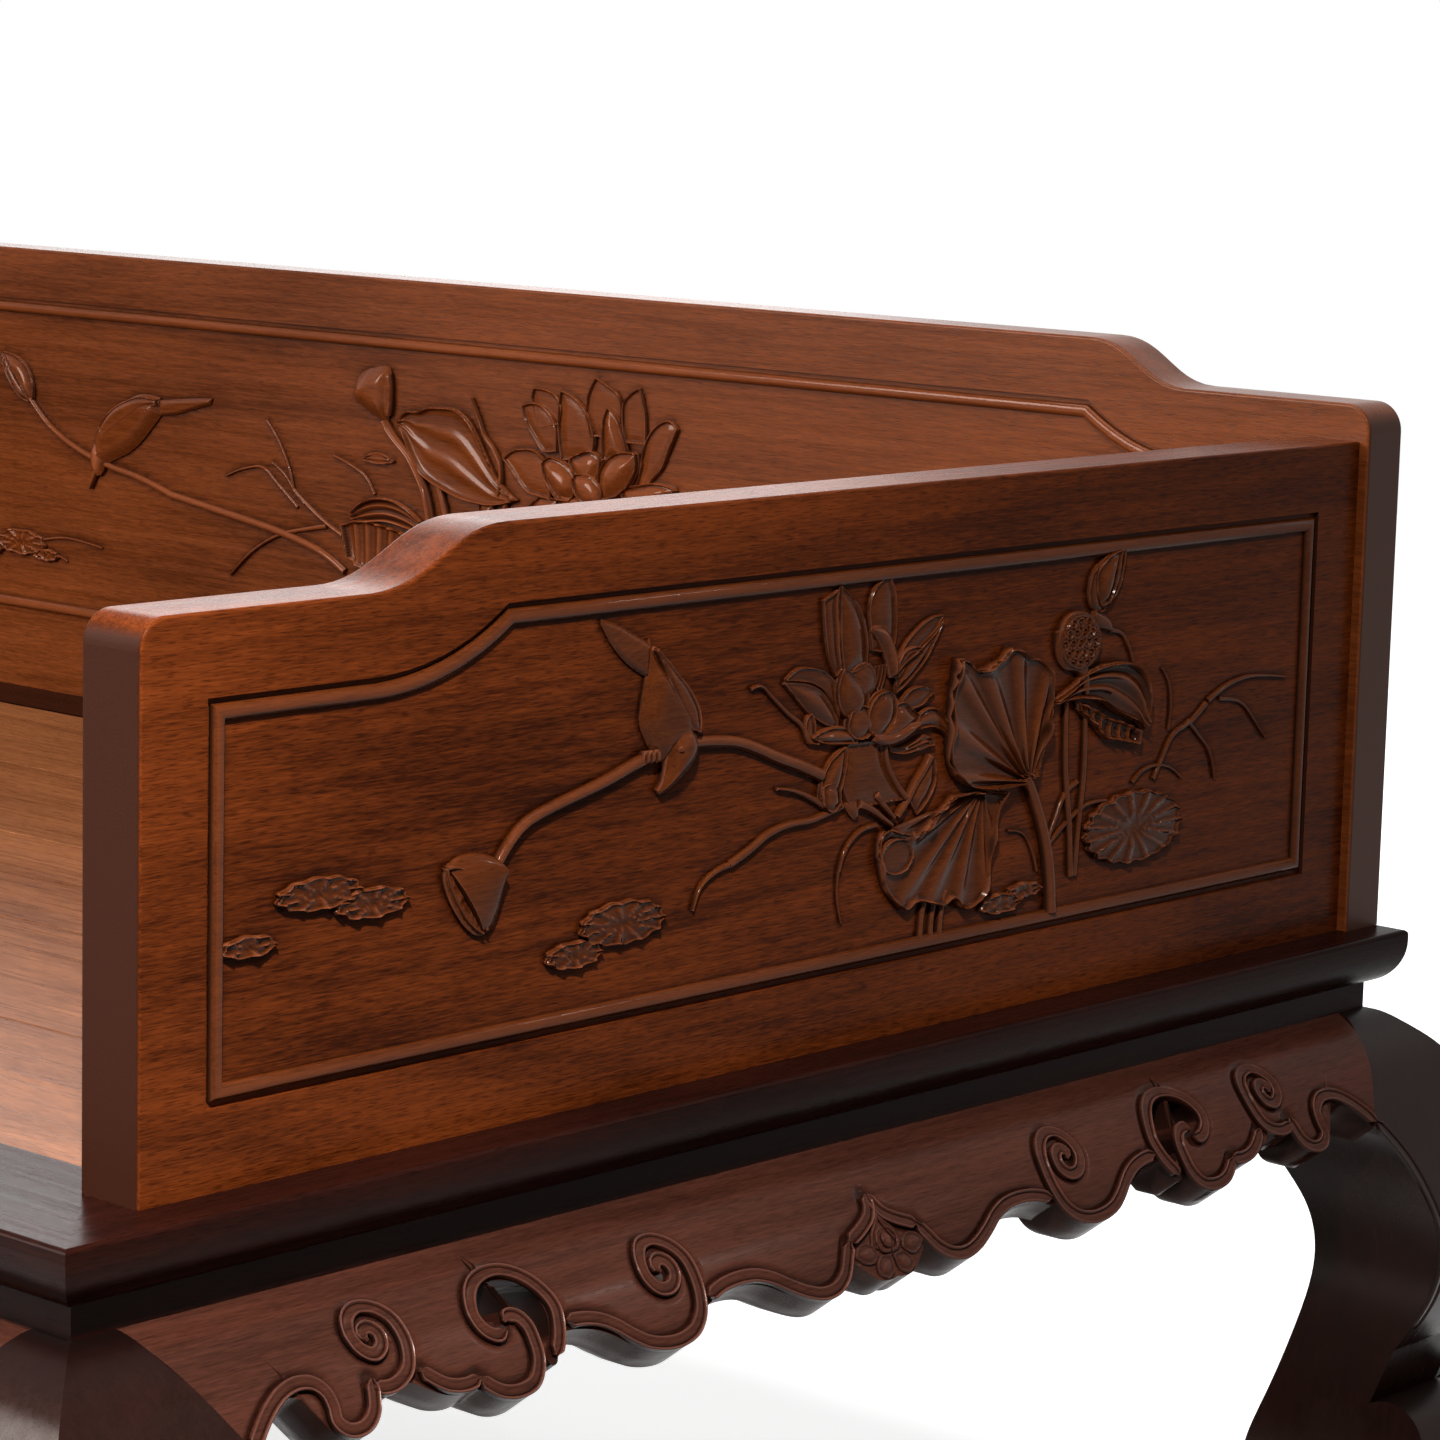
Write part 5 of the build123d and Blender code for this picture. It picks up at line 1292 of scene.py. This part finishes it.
PAINTED_SHADE_TINT = (0.13, 0.09, 0.08, 1)     # what the colour is multiplied by for that painted shade
PAINTED_HIGHLIGHT_STRENGTH = 0.5        # share of the painted highlight on a ridge where the attribute is -1
RIDGE_POLISH = 0.5          # roughness of the ridges against the polish
PAINTED_HIGHLIGHT_GAIN, PAINTED_HIGHLIGHT_LIFT = 1.7, 0.02  # colour of the painted highlight: the light tone times one plus the other
POLISH_SPAN = (0.85, 1.25)  # roughness from dark streaks to light ones, against the polish
PORE_BUMP = 0.5             # strength of the dents


def emptied(holder):
    """The emptied node tree of a material or a world."""
    holder.use_nodes = True
    holder.node_tree.nodes.clear()
    return holder.node_tree


def feed(tree, socket, value):
    """Links another node's socket to an input, or sets the input to a value."""
    if isinstance(value, bpy.types.NodeSocket):
        tree.links.new(value, socket)
    else:
        socket.default_value = value


def node(tree, kind, place, *sources, **inputs):
    """Adds a shader node at a place in the tree, feeds its first inputs in order, and its
    other inputs and settings by name."""
    made = tree.nodes.new(kind)
    made.location = place
    for name, value in inputs.items():
        key = name.replace("_", " ")
        if key in made.inputs:
            feed(tree, made.inputs[key], value)
        else:
            setattr(made, name, value)
    for socket, value in zip(made.inputs, sources):
        feed(tree, socket, value)
    return made


def mixed(tree, place, share, first, second, kind="FLOAT", blend="MIX"):
    """A mix of two sockets or values; the share too may be a socket or a value."""
    mix = node(tree, "ShaderNodeMix", place, data_type=kind)
    if kind == "RGBA":
        mix.blend_type = blend
    for index, value in zip((0, 2, 3) if kind == "FLOAT" else (0, 6, 7), (share, first, second)):
        feed(tree, mix.inputs[index], value)
    return mix.outputs[0 if kind == "FLOAT" else 2]


def ranged(tree, place, value, low, high, to_low=0.0, to_high=1.0):
    """A socket's value, with low to high carried over to another range."""
    return node(tree, "ShaderNodeMapRange", place, value, From_Min=low, From_Max=high, To_Min=to_low,
                To_Max=to_high).outputs[0]


def maths(tree, place, operation, *values, clamp=False):
    """The result of a sum on sockets or values, held between 0 and 1 if it is clamped."""
    return node(tree, "ShaderNodeMath", place, *values, operation=operation, use_clamp=clamp).outputs[0]


def wood(name, dark, light, grain, polish, pore_depth, specular, figure, shift):
    """Polished hardwood in Object coordinates, shifted to a part of the pattern of its
    own, with its grain along one axis: bands and streaks from stretched noise, flecks and
    a slow change of tone, all the stronger the larger the figure, and short dark pores
    that also dent the surface. Faces across the grain are darker and duller. An attribute
    of the carved pieces paints shade into their recesses and paints a highlight on their
    ridges, which it also makes smoother."""
    material = bpy.data.materials.new(name)
    tree = emptied(material)
    axis = "XYZ".index(grain)
    coords = node(tree, "ShaderNodeTexCoord", (-1500, 0))

    def noise(row, kind, to_low=0.0, to_high=1.0):
        """One noise, stretched along the grain and spread out over a range."""
        along, across, detail, rough, distortion, low, high = kind
        mapping = node(tree, "ShaderNodeMapping", (-1250, row), coords.outputs["Object"],
                       Scale=[along if k == axis else across for k in range(3)], Location=[shift] * 3)
        grainy = node(tree, "ShaderNodeTexNoise", (-1050, row), mapping.outputs[0], Scale=1.0,
                      Detail=detail, Roughness=rough, Distortion=distortion)
        return ranged(tree, (-820, row), grainy.outputs["Fac"], low, high, to_low, to_high)

    bands, streaks, flecks = noise(300, BANDS), noise(0, STREAKS), noise(-150, FLECKS)
    pores = noise(-300, PORES, 0.0, PORE_STRENGTH * figure)
    cloud = noise(600, CLOUD, -CLOUD_STRENGTH * figure, CLOUD_STRENGTH * figure)
    tone = mixed(tree, (-600, 200), STREAK_SHARE, bands, streaks)
    tone = mixed(tree, (-500, 100), FLECK_SHARE, tone, flecks)
    tone = ranged(tree, (-480, 200), tone, *TONE_SPAN, 0.5 - 0.5 * figure, 0.5 + 0.5 * figure)
    tone = maths(tree, (-420, 300), "ADD", tone, cloud, clamp=True)
    colour = mixed(tree, (-220, 250), tone, (*dark, 1), (*light, 1), "RGBA")
    colour = mixed(tree, (-60, 200), pores, colour, PORE_TINT, "RGBA", "MULTIPLY")

    # Faces across the grain.
    normal = node(tree, "ShaderNodeSeparateXYZ", (-820, 900), coords.outputs["Normal"])
    facing = maths(tree, (-600, 900), "ABSOLUTE", normal.outputs[axis])
    sawn = ranged(tree, (-420, 900), facing, *END_FACING)
    grey = END_MIX[2] * (sum(light) / 3)
    end_colour = [END_TONE * (END_MIX[0] * deep + END_MIX[1] * pale + grey)
                  for deep, pale in zip(dark, light)]
    colour = mixed(tree, (100, 250), sawn, colour, (*end_colour, 1), "RGBA")

    # Painted shade in the recesses, and a painted highlight on the ridges, which are also made smoother.
    shade = node(tree, "ShaderNodeAttribute", (-220, 500), attribute_name="shade").outputs["Fac"]
    painted_shade_share = maths(tree, (-60, 500), "MULTIPLY", shade, PAINTED_SHADE_STRENGTH, clamp=True)
    colour = mixed(tree, (220, 250), painted_shade_share, colour, PAINTED_SHADE_TINT, "RGBA", "MULTIPLY")
    highlight_and_polish_share = maths(tree, (-60, 650), "MULTIPLY", shade, -PAINTED_HIGHLIGHT_STRENGTH, clamp=True)
    painted_highlight_colour = [min(1.0, PAINTED_HIGHLIGHT_GAIN * pale + PAINTED_HIGHLIGHT_LIFT) for pale in light]
    colour = mixed(tree, (300, 400), highlight_and_polish_share, colour, (*painted_highlight_colour, 1), "RGBA")

    low, high = (share * polish for share in POLISH_SPAN)
    gloss = ranged(tree, (100, -100), streaks, 0.0, 1.0, low, high)
    gloss = mixed(tree, (250, -100), sawn, gloss, min(1.0, polish * END_DULLNESS))
    gloss = mixed(tree, (320, -200), highlight_and_polish_share, gloss, polish * RIDGE_POLISH)
    bump = node(tree, "ShaderNodeBump", (100, -350), Strength=PORE_BUMP, Distance=pore_depth,
                Height=maths(tree, (-100, -350), "SUBTRACT", 1.0, pores))
    shader = node(tree, "ShaderNodeBsdfPrincipled", (400, 100), colour, Roughness=gloss,
                  Normal=bump.outputs["Normal"], Specular_IOR_Level=specular, Specular_Tint=SHEEN_TINT)
    node(tree, "ShaderNodeOutputMaterial", (700, 100), shader.outputs[0])
    return material


# Specular level, share of the polish setting and strength of the grain's figure, by kind
# of wood or of work.
GLOSS = {"panel": (0.022, 0.95, 0.75), "back": (0.11, 1.0, 0.5), "seat": (0.022, 1.0, 0.6),
         "frame": (0.022, 0.9, 0.6), "joint": (0.03, 2.5, 0.8), "apron": (0.04, 0.75, 0.4),
         "carved": (0.05, 0.45, 0.4), "carved_back": (0.12, 0.5, 0.35), "leg": (0.08, 0.8, 0.3)}
SHIFT = 3.7                 # metres between the grains of one seat board and the next


def named_wood(slot, grain, kind=None, board=0):
    """The wood of a material slot, or of a special kind, with its grain along an axis,
    made once for each board."""
    kind = kind or slot.split("_")[0]
    name = f"{kind}_wood_{grain.lower()}" + (f"_{board}" if board else "")
    if name in bpy.data.materials:
        return bpy.data.materials[name]
    woods = bpy.context.scene.daybed_woods
    tone = kind.replace("carved_back", "back")
    dark, light = getattr(woods, f"{tone}_dark"), getattr(woods, f"{tone}_light")
    specular, share, figure = GLOSS[kind]
    return wood(name, dark, light, grain, woods.polish * share, woods.pore_depth, specular, figure,
                SHIFT * board)


def grain_of(name):
    """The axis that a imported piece's grain runs along."""
    if name.startswith("leg"):
        return "Z"
    if any(word in name for word in ("end_rail", "side_panel", "batten", "_left", "_right")):
        return "Y"
    if name.startswith(("left_", "right_")):
        return "Y"
    return "X"


# ---------------------------------------------------------------- operators
def facing_x(plane, sign, outward_sign):
    """place(a, b, h) on a side panel's face: a along Y, b up, h out of the face."""
    def place(a, b, height):
        return np.stack([sign * (plane + outward_sign * height), a, b], axis=-1) * MM
    return place


def facing_front(a, b, height):
    """The same on the back panel's front: a along X."""
    return np.stack([a, BACK_FIELD - height, b], axis=-1) * MM


def drawn(work, relief):
    """The drawings of a face, by name."""
    made = {}
    for group, parts in work:
        made[group] = Drawing(relief)
        for part in parts:
            part(made[group])
    return made


class DAYBED_OT_finish_woods(bpy.types.Operator):
    """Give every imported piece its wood, with the grain along the piece"""

    bl_idname = "daybed.finish_woods"
    bl_label = "Finish the woods"

    def execute(self, context):
        slots = {part["node"]: part["material_slot"] for part in frame["record"]["subparts"]}
        for name, piece in frame["nodes"].items():
            piece.data.materials.clear()
            kind = "leg" if name.startswith("leg") else "back" if name == "back_panel" else None
            board = int(name[-1]) if name.startswith("seat_board") else 0
            piece.data.materials.append(named_wood(slots[name], grain_of(name), kind, board))
        return {"FINISHED"}


class DAYBED_OT_carve_aprons(bpy.types.Operator):
    """Carve the four aprons: bulging board, sawn edge, pierced scrolls and cord"""

    bl_idname = "daybed.carve_aprons"
    bl_label = "Carve the aprons"

    def execute(self, context):
        carving = context.scene.daybed_carving
        for side, (_, _, half_run) in SIDES.items():
            short = side in ("right", "left")
            column_step, face_rows, cord_step = SHORT_GRID if short else LONG_GRID
            place = apron_placer(side)
            on = face_placer(place)
            shells = [apron_body(place, half_run, carving, column_step, face_rows)]
            for points in half_cords(half_run):
                for sign in (1, -1):
                    shells.append(cord_shell(on, on_side(points, sign), carving.cord_width / MM,
                                             carving.cord_height / MM, cord_step))
            flower = Drawing(1.0)
            cartouche_flower(flower)
            shells += flower.shells(on)
            # The aprons get the lighter copy of the frame's wood, a painted sheen.
            piece = mesh_piece(f"carved_apron_{side}", shells,
                               named_wood("frame_wood", "Y" if short else "X", "apron"))
            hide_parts(f"apron_{side}")
        return {"FINISHED"}


class DAYBED_OT_run_leg_cords(bpy.types.Operator):
    """Run the cords down the legs' inner edges, on from the aprons' cords"""

    bl_idname = "daybed.run_leg_cords"
    bl_label = "Run the leg cords"

    def execute(self, context):
        carving = context.scene.daybed_carving
        for side, (_, _, half_run) in SIDES.items():
            shells = [leg_cord(apron_placer(side), half_run, sign, carving.cord_width / MM,
                               carving.cord_height / MM) for sign in (1, -1)]
            mesh_piece(f"leg_cords_{side}", shells, named_wood("frame_wood", "Z", "leg"))
        return {"FINISHED"}


class DAYBED_OT_carve_side_panels(bpy.types.Operator):
    """Carve lotus, bird, leaves and reeds on the outer faces of both side panels"""

    bl_idname = "daybed.carve_side_panels"
    bl_label = "Carve the side panels"

    def execute(self, context):
        drawings = drawn(SIDE_WORK, context.scene.daybed_carving.relief)
        edges = np.concatenate([edge for drawing in drawings.values() for edge in drawing.edges])
        for side, sign in (("right", 1), ("left", -1)):
            place = facing_x(SIDE_FIELD, sign, 1)
            for group, drawing in drawings.items():
                mesh_piece(f"side_{side}_{group}", drawing.shells(place),
                           named_wood("panel_wood", "Y", "carved"))
            ground = ground_shell(side_loop, place, edges, *SIDE_GRID)
            mesh_piece(f"side_{side}_ground", [ground], named_wood("panel_wood", "Y"))
        return {"FINISHED"}


class DAYBED_OT_carve_back_panel(bpy.types.Operator):
    """Carve lotus, bird, leaves and reeds on the front of the back panel"""

    bl_idname = "daybed.carve_back_panel"
    bl_label = "Carve the back panel"

    def execute(self, context):
        drawings = drawn(BACK_WORK, context.scene.daybed_carving.relief)
        edges = np.concatenate([edge for drawing in drawings.values() for edge in drawing.edges])
        for group, drawing in drawings.items():
            mesh_piece(f"back_{group}", drawing.shells(facing_front),
                       named_wood("panel_wood", "X", "carved_back"))
        ground = ground_shell(back_loop, facing_front, edges, *BACK_GRID)
        mesh_piece("back_ground", [ground], named_wood("panel_wood", "X", "back"))
        return {"FINISHED"}


class DAYBED_OT_run_beads(bpy.types.Operator):
    """Run the rounded beads round the fields of the three panels"""

    bl_idname = "daybed.run_beads"
    bl_label = "Run the beads"

    def execute(self, context):
        inner = SIDE_INNER + FIELD_DEPTH
        for side, sign in (("right", 1), ("left", -1)):
            shells = [bead_shell(side_loop, facing_x(SIDE_FIELD, sign, 1)),
                      bead_shell(side_loop, facing_x(inner, sign, -1))]
            mesh_piece(f"side_{side}_beads", shells, named_wood("panel_wood", "Y", "carved"))
        mesh_piece("back_bead", [bead_shell(back_loop, facing_front)],
                   named_wood("panel_wood", "X", "carved_back"))
        return {"FINISHED"}


class DAYBED_OT_set_studio(bpy.types.Operator):
    """Set the floor, the background, the lights and the camera"""

    bl_idname = "daybed.set_studio"
    bl_label = "Set the studio"

    def execute(self, context):
        studio = context.scene.daybed_studio
        context.scene.view_settings.view_transform = "Standard"
        make_floor()
        make_world(context.scene, studio.room_level)
        make_lights(context.scene, studio)
        make_camera(context.scene, studio.lens)
        return {"FINISHED"}


# ---------------------------------------------------------------- studio
WHITE = (1, 1, 1, 1)
FLOOR_HALF = 6.0
FLOOR_PALE = (0.8, 0.8, 0.8, 1)     # its colour as it is seen
FLOOR_BOUNCE = (0.2, 0.2, 0.2, 1)   # and for the light that it throws back
FLOOR_FADE = (1.3, 2.4)     # the floor turns white between these distances from the bed's middle
FLOOR_GLOW = 0.72           # its own brightness at the bed
KEY_SPREAD = 56.0           # degrees that the key light's beam opens to

# Place, target and size in metres, the setting of its power, and the light's share of it:
# a key above the front right corner, a large light overhead, one in front, one behind, and
# two small ones that the polish mirrors.
LIGHTS = {
    "key_light": ((2.05, -1.4, 2.15), (1.0, -0.5, 0.45), 0.12, "key_power", 1.0),
    "top_light": ((0.5, -0.1, 3.0), (0.5, 0.0, 0.4), 1.8, "top_power", 1.0),
    "fill_light": ((-1.4, -2.8, 1.8), (0.0, 0.4, 0.6), 1.6, "fill_power", 1.0),
    "rim_light": ((-2.4, 2.6, 2.4), (0.0, 0.2, 0.4), 2.0, "rim_power", 1.0),
    "front_glint": ((2.6, -0.6, 2.4), (1.0, 0.0, 0.5), 0.05, "glint_power", 1.0),
    "rear_glint": ((2.3, 1.5, 1.6), (1.0, 0.0, 0.6), 0.025, "glint_power", 0.4),
}
SENSOR = 36.0               # width in millimetres
VIEW_END = 60.0             # metres that the camera sees
CAMERA_PLACE = (2.5487, -1.7818, 0.9853)
CAMERA_RIGHT = (0.739373, 0.672834, 0.024957)
CAMERA_DOWN = (0.123363, -0.098937, -0.987417)
CAMERA_FORWARD = (-0.661899, 0.733148, -0.156154)


def seen_share(tree):
    """1 for light that goes to the camera, straight or by a reflection or through glass,
    and 0 for the rest."""
    path = node(tree, "ShaderNodeLightPath", (-600, 300))
    share = path.outputs["Is Camera Ray"]
    for column, ray in ((-400, "Is Glossy Ray"), (-200, "Is Transmission Ray")):
        share = maths(tree, (column, 300), "MAXIMUM", share, path.outputs[ray])
    return share


def make_floor():
    """A plain pale floor that shows white, the more so the farther from the bed, and
    still holds the bed's shadow. What it throws back on to the bed is dimmer."""
    half = FLOOR_HALF
    mesh = bpy.data.meshes.new("floor")
    mesh.from_pydata([(-half, -half, 0), (half, -half, 0), (half, half, 0), (-half, half, 0)],
                     [], [(0, 1, 2, 3)])
    material = bpy.data.materials.new("pale_floor")
    tree = emptied(material)
    pale = node(tree, "ShaderNodeBsdfDiffuse", (-200, 0), FLOOR_PALE)
    bounce = node(tree, "ShaderNodeBsdfDiffuse", (0, 100), FLOOR_BOUNCE)
    coords = node(tree, "ShaderNodeTexCoord", (-1000, -200))
    away = node(tree, "ShaderNodeVectorMath", (-800, -200), coords.outputs["Object"], operation="LENGTH")
    level = ranged(tree, (-600, -200), away.outputs["Value"], *FLOOR_FADE, FLOOR_GLOW, 1.0)
    glow = node(tree, "ShaderNodeEmission", (-200, -200), WHITE, level)
    both = node(tree, "ShaderNodeAddShader", (0, -100), pale.outputs[0], glow.outputs[0])
    chosen = node(tree, "ShaderNodeMixShader", (200, 100), seen_share(tree), bounce.outputs[0],
                  both.outputs[0])
    node(tree, "ShaderNodeOutputMaterial", (400, 100), chosen.outputs[0])
    mesh.materials.append(material)
    floor = bpy.data.objects.new("floor", mesh)
    bpy.context.scene.collection.objects.link(floor)


def make_world(scene, level):
    """White to the camera and to reflections, and an even plain light for the rest."""
    world = bpy.data.worlds.new("studio_room")
    tree = emptied(world)
    strength = ranged(tree, (0, 200), seen_share(tree), 0.0, 1.0, level, 1.0)
    background = node(tree, "ShaderNodeBackground", (200, 100), WHITE, strength)
    node(tree, "ShaderNodeOutputWorld", (400, 100), background.outputs[0])
    scene.world = world


def area_light(scene, name, place, target, size, power):
    """A square area light at a place, turned to a target, all in metres."""
    light = bpy.data.lights.new(name, "AREA")
    light.shape = "SQUARE"
    light.size = size
    light.energy = power
    lamp = bpy.data.objects.new(name, light)
    lamp.location = place
    lamp.rotation_euler = (Vector(target) - Vector(place)).to_track_quat("-Z", "Y").to_euler()
    scene.collection.objects.link(lamp)


def make_lights(scene, studio):
    """The lights of the table, each with its share of its setting's power. The key light's
    beam is narrowed."""
    for name, (place, target, size, setting, share) in LIGHTS.items():
        area_light(scene, name, place, target, size, share * getattr(studio, setting))
    bpy.data.lights["key_light"].spread = np.radians(KEY_SPREAD)


def make_camera(scene, lens):
    """The camera, from its place and its three directions."""
    data = bpy.data.cameras.new("camera")
    data.lens = lens
    data.sensor_width = SENSOR
    data.clip_end = VIEW_END
    camera = bpy.data.objects.new("camera", data)
    turn = np.eye(4)
    turn[:3, 0], turn[:3, 1], turn[:3, 2] = CAMERA_RIGHT, -np.array(CAMERA_DOWN), -np.array(CAMERA_FORWARD)
    turn[:3, 3] = CAMERA_PLACE
    camera.matrix_world = Matrix(turn.tolist())
    scene.collection.objects.link(camera)
    scene.camera = camera


# ---------------------------------------------------------------- panel and registration
OPERATORS = (
    DAYBED_OT_finish_woods,
    DAYBED_OT_carve_aprons,
    DAYBED_OT_run_leg_cords,
    DAYBED_OT_carve_side_panels,
    DAYBED_OT_carve_back_panel,
    DAYBED_OT_run_beads,
    DAYBED_OT_set_studio,
)
GROUPS = (DaybedWoods, DaybedCarving, DaybedStudio)


class DAYBED_PT_sidebar(bpy.types.Panel):
    """Lists the daybed's settings and operators in the sidebar"""

    bl_label = "Luohan Daybed"
    bl_idname = "DAYBED_PT_sidebar"
    bl_space_type = "VIEW_3D"
    bl_region_type = "UI"
    bl_category = "Daybed"

    def draw(self, context):
        layout = self.layout
        for group in (context.scene.daybed_woods, context.scene.daybed_carving, context.scene.daybed_studio):
            box = layout.box()
            for name in group.__annotations__:
                box.prop(group, name)
        for operator in OPERATORS:
            layout.operator(operator.bl_idname)


def register():
    """Registers the settings, the operators and the panel."""
    for group in (*GROUPS, *OPERATORS, DAYBED_PT_sidebar):
        bpy.utils.register_class(group)
    bpy.types.Scene.daybed_woods = bpy.props.PointerProperty(type=DaybedWoods)
    bpy.types.Scene.daybed_carving = bpy.props.PointerProperty(type=DaybedCarving)
    bpy.types.Scene.daybed_studio = bpy.props.PointerProperty(type=DaybedStudio)


def unregister():
    """Takes the settings, the operators and the panel away again."""
    del bpy.types.Scene.daybed_studio
    del bpy.types.Scene.daybed_carving
    del bpy.types.Scene.daybed_woods
    for group in reversed((*GROUPS, *OPERATORS, DAYBED_PT_sidebar)):
        bpy.utils.unregister_class(group)


def main():
    """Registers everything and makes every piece."""
    register()
    bpy.ops.daybed.finish_woods()
    bpy.ops.daybed.carve_aprons()
    bpy.ops.daybed.run_leg_cords()
    bpy.ops.daybed.carve_side_panels()
    bpy.ops.daybed.carve_back_panel()
    bpy.ops.daybed.run_beads()
    bpy.ops.daybed.set_studio()


if __name__ == "__main__":
    main()
